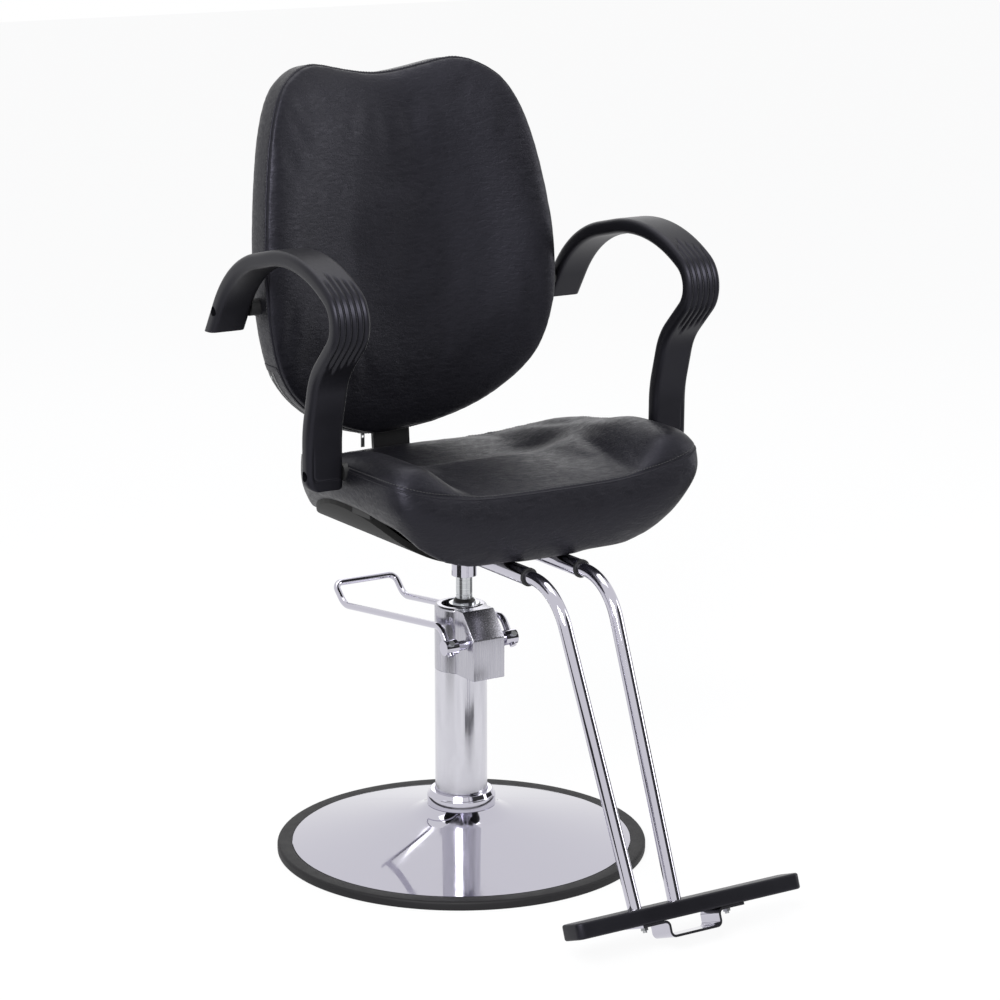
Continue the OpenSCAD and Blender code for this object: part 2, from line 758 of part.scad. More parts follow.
module back_insert(grow) {
    translate([rear_insert_x - grow, rear_screw_y - rear_insert_w / 2 - grow,
               rear_screw_z - rear_insert_w / 2 - grow])
        cube([rear_insert_l + 2 * grow, rear_insert_w + 2 * grow, rear_insert_w + 2 * grow]);
    translate([rear_insert_x, rear_screw_y, rear_screw_z]) rotate([0, 90, 0])
        cylinder(r = standoff_r + grow, h = arm_gap / 2 - rear_insert_x - seat_gap + grow);
}

module back_insert_pockets() {
    at_rod() for (s = [0, 1]) mirror([s, 0, 0]) back_insert(seat_gap);
}

module back_inserts() {
    color([0.1, 0.1, 0.1]) at_rod() for (s = [0, 1]) mirror([s, 0, 0]) difference() {
        back_insert(0);
        arm_screw_hole(rear_screw_y, rear_screw_z, bolt_r + slip);
    }
}

// flat steel bar from under the seat up the back board
bar_front = 100;
bar_up = 190;
bar_bend_r = 14;
bar_depth = back_board_at + back_board_t + bar_t / 2;
bar_drop = 40;
bar_low = back_low - bar_drop;
function in_back_pt(y, z) = [0, back_y + y * cos(back_lean) + z * sin(back_lean),
                             arm_line_z + z * cos(back_lean) - y * sin(back_lean)];
bar_top = in_back_pt(bar_depth, back_low + bar_up);
bar_knee = in_back_pt(bar_depth, bar_low);
bar_z = board_z - bar_t / 2;
bar_corner = bar_knee + (bar_knee - bar_top) * (bar_knee[2] - bar_z) / (bar_top[2] - bar_knee[2]);
bar_hole_in = 20;
bar_hole_pitch = 42;
bracket_ys = [bar_front + bar_hole_in, bar_front + bar_hole_in + bar_hole_pitch];
back_bolt_ups = [50, 110, 170];

module bracket_places() {
    for (y = bracket_ys) translate([0, y, 0]) children();
}

module back_bolt_places() {
    for (up = back_bolt_ups) translate([0, back_board_at + back_board_t, back_low + up]) children();
}

module back_bracket() {
    color([0.1, 0.1, 0.1]) difference() {
        at_rod() difference() {
            sweep([[0, bar_front, bar_z], bar_corner, bar_top], [bar_bend_r])
                square([bar_t, bar_w], center = true);
            bracket_places() translate([0, 0, bar_z - bar_t])
                cylinder(r = bolt_r + tube_slip, h = 2 * bar_t);
        }
        in_back() back_bolt_places() rotate([90, 0, 0])
            cylinder(r = bolt_r + tube_slip, h = 3 * bar_t, center = true);
    }
}

module back_bracket_bolts() {
    color("gray") {
        at_rod() bracket_places() translate([0, 0, bar_z - bar_t / 2]) bolt(bar_t + board_t - seat_gap);
        in_back() back_bolt_places() translate([0, bar_t, 0]) rotate([90, 0, 0])
            bolt(bar_t + back_board_t - seat_gap);
    }
}

// zip round the lower edge of the back's boxing
zip_w = 9;
zip_t = 1.2;
zip_y = 0.62 * boxing_d;
zip_lift = 1.3;
zip_from = len(back_line) - 8;
zip_count = 16;
slider_l = 9;
slider_t = 4;
slider_x = -38;
pull_l = 19;
pull_w = 3;
pull_t = 1.4;
fork_t = 1.2;
fork_l = 4.5;
eye_r = 1.8;
pin_r = 0.95;
zip_path = [for (k = [0:zip_count]) back_line[(zip_from + k) % len(back_line)]];

function zip_out(p, d) =
    let (n = unit([p[0], 1.3 * (p[1] - back_mid)]))
    [p[0] * 1.005 + n[0] * d, p[1] + n[1] * d];
function zip_ring(p) =
    [for (c = [[seat_gap, -1], [seat_gap + zip_t, -1], [seat_gap + zip_t, 1], [seat_gap, 1]])
        let (q = zip_out(p, c[0] + zip_lift)) back_pt(q[0], q[1], zip_y + c[1] * zip_w / 2)];

module zip_tape() {
    rings = [for (p = zip_path) zip_ring(p)];
    first = rings[0];
    last = rings[zip_count];
    color([0.1, 0.1, 0.1]) in_back()
        loft(rings, (first[0] + first[1] + first[2] + first[3]) / 4,
             (last[0] + last[1] + last[2] + last[3]) / 4);
}

bottom_share = 0.003;
slider_z = back_low + back_h * bottom_share - zip_lift - 7 * seat_gap - zip_t;

module zip_slider() {
    color("silver") in_back() translate([slider_x, zip_y, slider_z - slider_t]) {
        translate([0, 0, slider_t / 2]) cube([slider_l, zip_w - seat_gap, slider_t], center = true);
        translate([-pull_w / 2, 0, -pull_w / 2]) rotate([0, 90, 0]) zip_eye();
    }
}

module zip_eye() {
    difference() {
        translate([0, 0, pull_w / 4]) cylinder(r = eye_r, h = pull_w / 2, $fn = 24);
        translate([0, 0, -over]) cylinder(r = pin_r + slip, h = pull_w + 2 * over, $fn = 24);
    }
}

module zip_pull() {
    pin_z = slider_z - slider_t - pull_w / 2;
    color("silver") in_back() translate([slider_x, zip_y, pin_z]) rotate([back_lean, 0, 0]) {
        translate([-pull_w, 0, 0]) rotate([0, 90, 0]) cylinder(r = pin_r, h = 2 * pull_w, $fn = 24);
        for (s = [-1, 1]) translate([s * (pull_w - fork_t / 2) - fork_t / 2, -pull_t / 2, -fork_l])
            cube([fork_t, pull_t, fork_l]);
        translate([-pull_w, -pull_t / 2, -pull_l]) cube([2 * pull_w, pull_t, pull_l - fork_l]);
    }
}

// arms: the band's centre line from its rear end over the crest and down the post
arm_gap = seat_w + 2 * arm_clear;
arm_x = arm_gap / 2 + arm_w / 2;
arm_back_out = 38.8;
arm_back_y = back_y - back_bend(rear_insert_x) + arm_back_out;
arm_back_z = 765;
arm_span = 388;
arm_crest = 148;
arm_shares = [[0, 0], [0.173, 0.709], [0.686, 1], [1, 0.48], [0.786, -0.095], [0.732, -0.622]];
arm_foot_share = 0.7295;
insert_y = arm_back_y - arm_foot_share * arm_span;
arm_path = concat([for (q = arm_shares) [0, arm_back_y - q[0] * arm_span, arm_back_z + q[1] * arm_crest]],
                  [[0, insert_y, arm_foot_z]]);
rear_screw_in = 41;
rear_screw = arm_path[0] + rear_screw_in * unit(arm_path[1] - arm_path[0]);
rear_screw_y = rear_screw[1];
rear_screw_z = rear_screw[2];
arm_bend_shares = [0.451, 0.567, 0.108, 0.222, 0.412];
arm_radii = arm_bend_shares * arm_span;
core_back = 46;
screw_head_r = 6.5;
screw_head_h = 5;
screw_seat = 26;
screw_recess_r = 7.2;

// the same line with both ends drawn back, for the steel core
core_path = [for (i = [0:len(arm_path) - 1])
    i == 0 ? arm_path[0] + unit(arm_path[1] - arm_path[0]) * core_back :
    i == len(arm_path) - 1 ? arm_path[i] + unit(arm_path[i - 1] - arm_path[i]) * core_back : arm_path[i]];

module arm_screw_hole(y, z, r) {
    translate([0, y, z]) rotate([0, 90, 0]) cylinder(r = r, h = arm_gap / 2 + arm_w + over);
}

module arm_band() {
    difference() {
        translate([arm_x, 0, 0]) sweep(arm_path, arm_radii) round_rect(arm_t, arm_w, arm_round);
        translate([arm_x, 0, 0]) sweep(core_path, arm_radii)
            square([core_t + 2 * seat_gap, core_w + 2 * seat_gap], center = true);
        for (p = [[insert_y, foot_screw_z], [rear_screw_y, rear_screw_z]]) {
            arm_screw_hole(p[0], p[1], bolt_r + tube_slip);
            translate([arm_gap / 2 + screw_seat, p[0], p[1]]) rotate([0, 90, 0])
                cylinder(r = screw_recess_r, h = arm_w);
        }
    }
}

module arm_left() {
    color([0.16, 0.16, 0.17]) at_rod() arm_band();
}

module arm_right() {
    color([0.16, 0.16, 0.17]) at_rod() mirror([1, 0, 0]) arm_band();
}

// steel strap inside the foam, notched round the rear screw's head
module arm_core() {
    difference() {
        translate([arm_x, 0, 0]) sweep(core_path, arm_radii) square([core_t, core_w], center = true);
        arm_screw_hole(rear_screw_y, rear_screw_z, screw_recess_r);
    }
}

module arm_core_left() {
    color("gray") at_rod() arm_core();
}

module arm_core_right() {
    color("gray") at_rod() mirror([1, 0, 0]) arm_core();
}

module arm_screw(y, z, tip) {
    translate([tip, y, z]) rotate([0, 90, 0]) {
        cylinder(r = bolt_r, h = arm_gap / 2 + screw_seat - tip);
        translate([0, 0, arm_gap / 2 + screw_seat - tip]) difference() {
            cylinder(r = screw_head_r, h = screw_head_h);
            translate([0, 0, screw_head_h / 2]) cylinder(r = screw_head_r / 2, h = screw_head_h, $fn = 6);
        }
    }
}

module arm_screws() {
    color([0.2, 0.2, 0.2]) at_rod() for (s = [0, 1]) mirror([s, 0, 0]) {
        arm_screw(insert_y, foot_screw_z, insert_x - insert_t / 2);
        arm_screw(rear_screw_y, rear_screw_z, rear_insert_x + insert_t);
    }
}

// footrest
sleeve_r = sleeve_d / 2;
tube_r = tube_d / 2;
foot_plate_t = 3;
foot_plate_w = 190;
foot_plate_d = 90;
sleeve_front = -238;
foot_plate_back = 55;
foot_plate_front = sleeve_front + foot_plate_back;
sleeve_z = board_z - foot_plate_t - sleeve_r;
foot_bolt_x = 70;
ring_l = 3;
ring_proud = 0.5;
plate_y = -486;
plate_z = 62.5;
core_depth = 14;
core_plate_t = 4;
core_plate_d = 30;
tube_inset = 118;
tube_start = sleeve_front + tube_inset;
tube_sink = 13;
tube_foot_y = plate_y - tube_sink * sin(plate_tilt);
tube_foot_z = plate_z - tube_sink * cos(plate_tilt);
tube_corner = -306;

// centre line of a tube from its sleeve to the footplate
function tube_path(s) = [
    [s * tube_spacing / 2, tube_start, sleeve_z],
    [s * tube_spacing / 2, tube_corner, sleeve_z],
    [s * tube_foot_spacing / 2, tube_foot_y, tube_foot_z]];

module footrest_places() {
    for (x = [-1, 0, 1]) translate([x * foot_bolt_x, foot_plate_front + foot_plate_d / 2, 0]) children();
}

module footrest_bracket() {
    color([0.1, 0.1, 0.1]) at_rod() difference() {
        translate([0, foot_plate_front + foot_plate_d / 2, board_z - foot_plate_t])
            linear_extrude(foot_plate_t) round_rect(foot_plate_w, foot_plate_d, bolt_head_r);
        footrest_places() translate([0, 0, board_z - foot_plate_t - over])
            cylinder(r = bolt_r + tube_slip, h = foot_plate_t + 2 * over);
    }
}

module footrest_bracket_bolts() {
    color("silver") at_rod() footrest_places() translate([0, 0, board_z - foot_plate_t])
        bolt(foot_plate_t + board_t - seat_gap);
}

module footrest_sleeve(s) {
    color("silver") at_rod() translate([s * tube_spacing / 2, sleeve_front, sleeve_z]) rotate([-90, 0, 0])
        ring(sleeve_r, tube_r + tube_slip, sleeve_l);
}

module footrest_sleeve_left() {
    footrest_sleeve(1);
}

module footrest_sleeve_right() {
    footrest_sleeve(-1);
}

module sleeve_rings() {
    color([0.1, 0.1, 0.1]) at_rod() for (s = [-1, 1])
        translate([s * tube_spacing / 2, sleeve_front - ring_l, sleeve_z]) rotate([-90, 0, 0])
            ring(sleeve_r + ring_proud, tube_r + tube_slip, ring_l);
}

module footrest_tube(s) {
    color("silver") at_rod() sweep(tube_path(s), [tube_bend_r], thin = rod_scale) difference() {
        circle(tube_r);
        circle(tube_r - tube_wall);
    }
}

module footrest_tube_left() {
    footrest_tube(1);
}

module footrest_tube_right() {
    footrest_tube(-1);
}

// footplate, in its own tilted frame with the origin at the middle of its top face
strap_t = 3.5;
strap_d = 45;
strap_lug = 42;
strap_bolt_x = strap_w / 2 + strap_lug * 0.6;
plate_bolt_r = 3;
nut_r = 5.6;
nut_h = 5;

module in_plate() {
    at_rod() translate([plate_offset, plate_y, plate_z]) rotate([-plate_tilt, 0, 0]) children();
}

module strap_bolt_places() {
    for (s = [-1, 1]) translate([s * strap_bolt_x, 0, -plate_t - strap_t]) children();
}

module core_box(grow) {
    translate([0, 0, -core_depth - core_plate_t / 2 - seat_gap])
        cube([plate_w - plate_d, core_plate_d, core_plate_t] + [2, 2, 2] * grow, center = true);
}

module footplate_core() {
    color("dimgray") difference() {
        in_plate() core_box(0);
        in_plate() strap_bolt_places() cylinder(r = plate_bolt_r + slip, h = plate_t);
        footrest_tube_space();
    }
}

// room for the tubes where they run into the footplate
module footrest_tube_space() {
    at_rod() for (s = [-1, 1]) sweep(tube_path(s), [tube_bend_r]) circle(tube_r + tube_slip);
}

module footplate_cover() {
    color([0.12, 0.12, 0.12]) difference() {
        in_plate() difference() {
            translate([0, 0, -plate_t]) linear_extrude(plate_t) round_rect(plate_w, plate_d, plate_t / 2);
            core_box(seat_gap);
            strap_bolt_places() cylinder(r = plate_bolt_r + tube_slip, h = plate_t - core_depth + strap_t);
        }
        footrest_tube_space();
    }
}

module footplate_strap() {
    x = strap_w / 2 - strap_t / 2;
    low = -plate_t - strap_h + strap_t / 2;
    high = -plate_t - strap_t / 2;
    bend = 2 * strap_t;
    path = [[-x - strap_lug, 0, high], [-x, 0, high], [-x, 0, low],
            [x, 0, low], [x, 0, high], [x + strap_lug, 0, high]];
    color("silver") in_plate() difference() {
        sweep(path, [bend, bend, bend, bend], [0, 1, 0]) square([strap_t, strap_d], center = true);
        strap_bolt_places() translate([0, 0, -over]) cylinder(r = plate_bolt_r + tube_slip, h = plate_t);
    }
}

module footplate_bolts() {
    color("silver") in_plate() strap_bolt_places() {
        cylinder(r = plate_bolt_r, h = plate_t + strap_t - core_depth - 2 * seat_gap);
        translate([0, 0, -nut_h]) cylinder(r = nut_r, h = nut_h, $fn = 6);
        translate([0, 0, -nut_h - plate_bolt_r]) cylinder(r = plate_bolt_r, h = nut_h + plate_bolt_r);
    }
}

// lever
lever_x = lever_w / 2;
lever_pitch = 39;
lever_tail = 14;
lever_stub = 34;
lever_bar_out = 30;
lever_bar_up = 27;
lever_sag = 7;
lever_low = shaft_z - lever_sag;
screw_r = 3;
set_head_r = 4.6;
lever_foot = [lever_x, -shaft_out, shaft_z] - lever_tail * [0, sin(lever_pitch), cos(lever_pitch)];
lever_neck = [lever_x, -shaft_out, shaft_z] + lever_stub * [0, sin(lever_pitch), cos(lever_pitch)];
lever_half = [lever_foot, lever_neck, [lever_x, lever_reach - lever_bar_out, lever_low],
              [lever_x, lever_reach, lever_low + lever_bar_up]];
lever_path = concat(lever_half, [for (i = [len(lever_half) - 1:-1:0])
    [-lever_half[i][0], lever_half[i][1], lever_half[i][2]]]);
lever_neck_r = 20;
lever_kink_r = 30;
lever_corner_r = 12;
lever_radii = [lever_neck_r, lever_kink_r, lever_corner_r, lever_corner_r, lever_kink_r, lever_neck_r];

module lever_shaft() {
    l = lever_w + boss_l - boss_in;
    color("silver") difference() {
        union() {
            translate([-l / 2, -shaft_out, shaft_z]) rotate([0, 90, 0]) cylinder(r = shaft_r, h = l);
            for (s = [0, 1]) mirror([s, 0, 0])
                translate([l / 2 - boss_l, -shaft_out, shaft_z]) rotate([0, 90, 0])
                    cylinder(r = boss_r, h = boss_l);
        }
        for (s = [-1, 1]) translate([s * lever_x, -shaft_out, shaft_z]) rotate([-lever_pitch, 0, 0])
            cylinder(r = lever_r + slip, h = 4 * boss_r, center = true);
        lever_screw_places() cylinder(r = screw_r + slip, h = 2 * boss_r);
    }
}

module pump_lever() {
    color("silver") sweep(lever_path, lever_radii, thin = rod_scale) circle(lever_r);
}

// set screws lie along the shaft's boss, square to the lever arm
module lever_screw_places() {
    for (s = [-1, 1])
        translate([s * lever_x, -shaft_out, shaft_z]) rotate([90 - lever_pitch, 0, 0]) children();
}

module lever_screws() {
    color("dimgray") lever_screw_places() {
        translate([0, 0, lever_r + seat_gap]) cylinder(r = screw_r, h = boss_r - lever_r);
        translate([0, 0, boss_r + slip]) cylinder(r = set_head_r, h = screw_r, $fn = 6);
    }
}

cam_w = 14;

module lever_cam() {
    color("gray") difference() {
        translate([-cam_w / 2, -shaft_out, shaft_z]) rotate([0, 90, 0]) union() {
            cylinder(r = cam_r, h = cam_w);
            cube([toe_r, crank_l, cam_w]);
            translate([toe_r, crank_l, 0]) cylinder(r = toe_r, h = cam_w);
        }
        translate([-cam_w, -shaft_out, shaft_z]) rotate([0, 90, 0])
            cylinder(r = shaft_r + slip, h = 2 * cam_w);
    }
}

module pump_plunger() {
    color("silver") translate([0, plunger_y, plunger_top - plunger_l])
        cylinder(r = plunger_r, h = plunger_l);
}

base_underplate();
base_rim();
base_dome();
base_screws();
pump_flange();
base_collar();
pump_column();
pump_head();
pump_cylinder();
cylinder_plug();
rod_gland();
rod_wiper();
piston_head();
piston_ring();
thrust_washer();
piston_rod();
seat_socket();
seat_mount_plate();
seat_plate_bolts();
seat_board();
seat_cushion();
seat_inserts();
back_bracket();
back_bracket_bolts();
back_board();
back_cushion();
back_cover();
back_inserts();
zip_tape();
zip_slider();
zip_pull();
arm_left();
arm_right();
arm_core_left();
arm_core_right();
arm_screws();
footrest_bracket();
footrest_bracket_bolts();
footrest_sleeve_left();
footrest_sleeve_right();
sleeve_rings();
footrest_tube_left();
footrest_tube_right();
footplate_core();
footplate_cover();
footplate_strap();
footplate_bolts();
lever_shaft();
pump_lever();
lever_screws();
lever_cam();
pump_plunger();
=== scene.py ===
import math

import bmesh
import bpy
from mathutils import Matrix, Vector
from mathutils.bvhtree import BVHTree


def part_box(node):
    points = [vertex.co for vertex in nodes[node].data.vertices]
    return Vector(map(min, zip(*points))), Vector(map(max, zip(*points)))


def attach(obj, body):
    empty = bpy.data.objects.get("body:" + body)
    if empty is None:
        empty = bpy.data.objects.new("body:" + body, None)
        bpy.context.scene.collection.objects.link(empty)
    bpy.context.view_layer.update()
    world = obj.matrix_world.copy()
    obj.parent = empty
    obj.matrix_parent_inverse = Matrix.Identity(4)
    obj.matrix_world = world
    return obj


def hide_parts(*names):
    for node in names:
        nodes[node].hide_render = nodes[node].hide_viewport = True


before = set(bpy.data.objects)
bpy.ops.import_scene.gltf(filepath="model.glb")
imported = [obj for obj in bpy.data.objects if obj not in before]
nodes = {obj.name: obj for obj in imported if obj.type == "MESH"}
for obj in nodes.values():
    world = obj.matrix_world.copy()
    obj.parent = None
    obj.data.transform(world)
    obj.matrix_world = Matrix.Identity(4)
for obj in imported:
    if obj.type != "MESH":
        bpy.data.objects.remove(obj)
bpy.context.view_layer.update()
mm = 0.001
upperX = 6 * mm  # the piston rod, and all that turns on it, stands this far off the column's axis


# shared helpers

def colour(hexCode):
    parts = [int(hexCode[i:i + 2], 16) / 255 for i in (1, 3, 5)]
    return tuple(p / 12.92 if p <= 0.04045 else ((p + 0.055) / 1.055) ** 2.4 for p in parts) + (1,)


def addNode(tree, kind, settings=None, links=None):
    node = tree.nodes.new(kind)
    for key, value in (settings or {}).items():
        if isinstance(key, str) and key not in node.inputs:
            setattr(node, key, value)
        else:
            node.inputs[key].default_value = value
    for key, source in (links or {}).items():
        tree.links.new(source, node.inputs[key])
    return node


def newMaterial(name, baseHex, metallic, roughness, extra=None):
    material = bpy.data.materials.new(name)
    material.use_nodes = True
    tree = material.node_tree
    tree.nodes.clear()
    settings = {"Base Color": colour(baseHex), "Metallic": metallic, "Roughness": roughness}
    settings.update(extra or {})
    shader = addNode(tree, "ShaderNodeBsdfPrincipled", settings)
    addNode(tree, "ShaderNodeOutputMaterial", links={"Surface": shader.outputs[0]})
    return material, tree, shader


def objectCoords(tree):
    return addNode(tree, "ShaderNodeTexCoord").outputs["Object"]


def addNoise(tree, coords, size, detail, extra=None):
    # soft noise, with features about size mm wide where the coordinates aren't stretched
    settings = {"Scale": 1000 / size, "Detail": detail}
    settings.update(extra or {})
    return addNode(tree, "ShaderNodeTexNoise", settings, {"Vector": coords})


def addStretch(tree, coords, scale):
    return addNode(tree, "ShaderNodeMapping", {"Scale": scale}, {"Vector": coords})


def addBump(tree, shader, height, strength, distance, before=None):
    links = {"Height": height}
    if before:
        links["Normal"] = before
    bump = addNode(tree, "ShaderNodeBump", {"Strength": strength, "Distance": distance}, links)
    tree.links.new(bump.outputs[0], shader.inputs["Normal"])
    return bump.outputs[0]


def remap(tree, source, low, high, fromLow=0.0, fromHigh=1.0):
    return addNode(tree, "ShaderNodeMapRange",
                   {"From Min": fromLow, "From Max": fromHigh, "To Min": low, "To Max": high},
                   {"Value": source}).outputs[0]


def tint(tree, shader, factor, hexA, hexB):
    ramp = addNode(tree, "ShaderNodeValToRGB", links={"Fac": factor})
    ramp.color_ramp.elements[0].color = colour(hexA)
    ramp.color_ramp.elements[1].color = colour(hexB)
    tree.links.new(ramp.outputs[0], shader.inputs["Base Color"])


# materials

def blackVinyl():
    # pressed grain in soft PVC: pebbles, short creases lying across, a cool sheen where it turns away
    look = {"pebble": 2.6, "crease": 8.0, "cloud": 120}  # mm; the pebbles are drawn coarser than life, to show
    material, tree, shader = newMaterial("grainedVinyl", "#0b0b0e", 0, 0.36,
                                         {"Specular IOR Level": 0.36, "Specular Tint": colour("#dcdaf0")})
    coords = objectCoords(tree)
    pebbles = addNode(tree, "ShaderNodeTexVoronoi", {"feature": "SMOOTH_F1", "Scale": 1000 / look["pebble"]},
                      {"Vector": coords})
    across = addStretch(tree, coords, (0.55, 0.8, 1.5))
    creases = addNoise(tree, across.outputs[0], look["crease"], 5.0, {"Roughness": 0.68, "Distortion": 0.6})
    clouds = addNoise(tree, coords, look["cloud"], 3.0)
    tint(tree, shader, clouds.outputs[0], "#08080a", "#0f0f13")
    tree.links.new(remap(tree, creases.outputs[0], 0.36, 0.54, 0.3, 0.7), shader.inputs["Roughness"])
    first = addBump(tree, shader, creases.outputs[0], 0.7, 1.3 * mm)
    addBump(tree, shader, pebbles.outputs[0], 0.45, 0.3 * mm, first)
    return material


def skinFoam():
    # integral-skin polyurethane out of a satin mould: even, slightly waxy, very fine texture
    material, tree, shader = newMaterial("skinFoam", "#0a0a0b", 0, 0.4,
                                         {"Specular IOR Level": 0.3, "Specular Tint": colour("#dcdaf0")})
    coords = objectCoords(tree)
    grain = addNoise(tree, coords, 0.9, 2.0)
    wear = addNoise(tree, coords, 60, 4.0)
    tint(tree, shader, wear.outputs[0], "#08080a", "#101013")
    tree.links.new(remap(tree, wear.outputs[0], 0.34, 0.46), shader.inputs["Roughness"])
    addBump(tree, shader, grain.outputs[0], 0.3, 0.08 * mm)
    return material


def mirrorChrome():
    # bright nickel-chrome plate: sharp reflections, faint waviness from the spinning and buffing
    material, tree, shader = newMaterial("mirrorChrome", "#c2c0cb", 1, 0.04)
    coords = objectCoords(tree)
    wave = addNoise(tree, coords, 90, 2.0)
    smudge = addNoise(tree, coords, 35, 5.0)
    tree.links.new(remap(tree, smudge.outputs[0], 0.02, 0.09, 0.35, 0.7), shader.inputs["Roughness"])
    addBump(tree, shader, wave.outputs[0], 0.12, 0.4 * mm)
    return material


def layered(name, baseHex, metallic, roughness, look, extra=None):
    # one noise drives the colour, the gloss and the relief; bump is its strength and its depth in mm
    material, tree, shader = newMaterial(name, baseHex, metallic, roughness, extra)
    coords = objectCoords(tree)
    if "stretch" in look:
        coords = addStretch(tree, coords, look["stretch"]).outputs[0]
    noise = addNoise(tree, coords, look.get("size", 1000), look["detail"], look.get("noise")).outputs[0]
    if "tints" in look:
        tint(tree, shader, noise, *look["tints"])
    if "gloss" in look:
        tree.links.new(remap(tree, noise, *look["gloss"]), shader.inputs["Roughness"])
    addBump(tree, shader, noise, look["bump"][0], look["bump"][1] * mm)
    return material


def rimRubber():
    # extruded rubber trim: dull black, faint dust
    material, tree, shader = newMaterial("rimRubber", "#121113", 0, 0.5, {"Specular IOR Level": 0.3})
    coords = objectCoords(tree)
    dust = addNoise(tree, coords, 18, 5.0)
    fine = addNoise(tree, coords, 0.8, 1.0)
    tint(tree, shader, dust.outputs[0], "#0c0b0d", "#161518")
    tree.links.new(remap(tree, dust.outputs[0], 0.52, 0.7), shader.inputs["Roughness"])
    addBump(tree, shader, fine.outputs[0], 0.25, 0.08 * mm)
    return material


def stitchThread():
    # bonded nylon thread, twisted
    material, tree, shader = newMaterial("nylonThread", "#232326", 0, 0.5, {"Sheen Weight": 0.2})
    twist = addNode(tree, "ShaderNodeTexWave", {"Scale": 1000 / 1.2, "Distortion": 1.0},
                    {"Vector": objectCoords(tree)})
    addBump(tree, shader, twist.outputs[1], 0.4, 0.1 * mm)
    return material


def wovenTape():
    # zip tape: woven polyester with a moulded coil
    material, tree, shader = newMaterial("wovenTape", "#121213", 0, 0.75, {"Sheen Weight": 0.3})
    coords = objectCoords(tree)
    weave = addNode(tree, "ShaderNodeTexBrick", {"Scale": 1000 / 1.6}, {"Vector": coords})
    addBump(tree, shader, weave.outputs[1], 0.5, 0.2 * mm)
    return material


vinyl = blackVinyl()
foam = skinFoam()
chrome = mirrorChrome()
# chromed drawn tube: long soft streaks along its length in its gloss and relief; the light and dark streaks in
# its colour are painted reflection streaks, standing in for dark bands mirrored in it
tubeChrome = layered("columnChrome", "#cfced5", 1, 0.14, {
    "stretch": (45, 45, 9), "detail": 5.0, "noise": {"Distortion": 0.8}, "tints": ("#b5b4bd", "#e2e1e8"),
    "gloss": (0.1, 0.26, 0.3, 0.7), "bump": (0.12, 0.6)})
# zinc casting, belt-ground on its flats: fine vertical lines
casting = layered("brushedCasting", "#b4b3bb", 1, 0.26, {
    "stretch": (900, 900, 14), "detail": 3.0, "tints": ("#9d9ca5", "#cbcad2"), "gloss": (0.16, 0.34),
    "bump": (0.25, 0.1)})
# turned and ground shaft: close rings round it
steel = layered("groundSteel", "#c2c4c8", 1, 0.2, {
    "stretch": (20, 20, 700), "detail": 2.0, "tints": ("#aaacb0", "#d8dadd"), "gloss": (0.14, 0.3),
    "bump": (0.2, 0.05)})
# zinc-plated pressed steel and bolts: satin, a little mottled
zinc = layered("zincPlate", "#b4b6b8", 1, 0.3, {
    "size": 7, "detail": 4.0, "tints": ("#97999b", "#cfd1d2"), "gloss": (0.2, 0.42), "bump": (0.15, 0.1)})
# stoved black paint on steel, slight orange peel
enamel = layered("blackEnamel", "#141415", 0, 0.32, {
    "size": 2.2, "detail": 2.0, "gloss": (0.26, 0.40), "bump": (0.2, 0.15)}, {"Specular IOR Level": 0.5})
# primer-grey painted steel, out of sight in the base
paint = layered("greyPaint", "#55565a", 0, 0.55, {
    "size": 5, "detail": 4.0, "tints": ("#4a4b4e", "#626367"), "bump": (0.25, 0.2)})
rimMaterial = rimRubber()
# seals and caps
sealRubber = layered("blackRubber", "#171718", 0, 0.55, {
    "size": 1.2, "detail": 2.0, "gloss": (0.48, 0.62), "bump": (0.3, 0.1)})
# stained moulded ply: thin glue lines along the edge, open pores
ply = layered("stainedPly", "#070606", 0, 0.6, {
    "stretch": (30, 260, 420), "detail": 4.0, "tints": ("#050505", "#0b0a0a"), "bump": (0.3, 0.2)},
    {"Specular IOR Level": 0.2})
thread = stitchThread()
tape = wovenTape()
print("materials ready")


# mesh helpers

def finishMesh(name, bm, material, body, smoothAngle=35):
    mesh = bpy.data.meshes.new(name)
    bmesh.ops.recalc_face_normals(bm, faces=bm.faces)
    bm.to_mesh(mesh)
    bm.free()
    obj = bpy.data.objects.new(name, mesh)
    bpy.context.scene.collection.objects.link(obj)
    mesh.materials.append(material)
    shadeSmooth(mesh, smoothAngle)
    if body:
        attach(obj, body)
    return obj


def shadeSmooth(mesh, angle):
    mesh.polygons.foreach_set("use_smooth", [True] * len(mesh.polygons))
    mesh.set_sharp_from_angle(angle=math.radians(angle))


def spun(profile, steps=128):
    bm = bmesh.new()
    verts = [bm.verts.new((x * mm, 0, z * mm)) for x, z in profile]
    edges = [bm.edges.new((verts[i], verts[i + 1])) for i in range(len(verts) - 1)]
    bmesh.ops.spin(bm, geom=verts + edges, cent=(0, 0, 0), axis=(0, 0, 1), angle=2 * math.pi, steps=steps,
                   use_merge=True)
    bmesh.ops.remove_doubles(bm, verts=bm.verts, dist=0.01 * mm)
    return bm


def arcPoints(cx, cz, r, a0, a1, count):
    return [(cx + r * math.cos(math.radians(a0 + (a1 - a0) * i / count)),
             cz + r * math.sin(math.radians(a0 + (a1 - a0) * i / count))) for i in range(count + 1)]


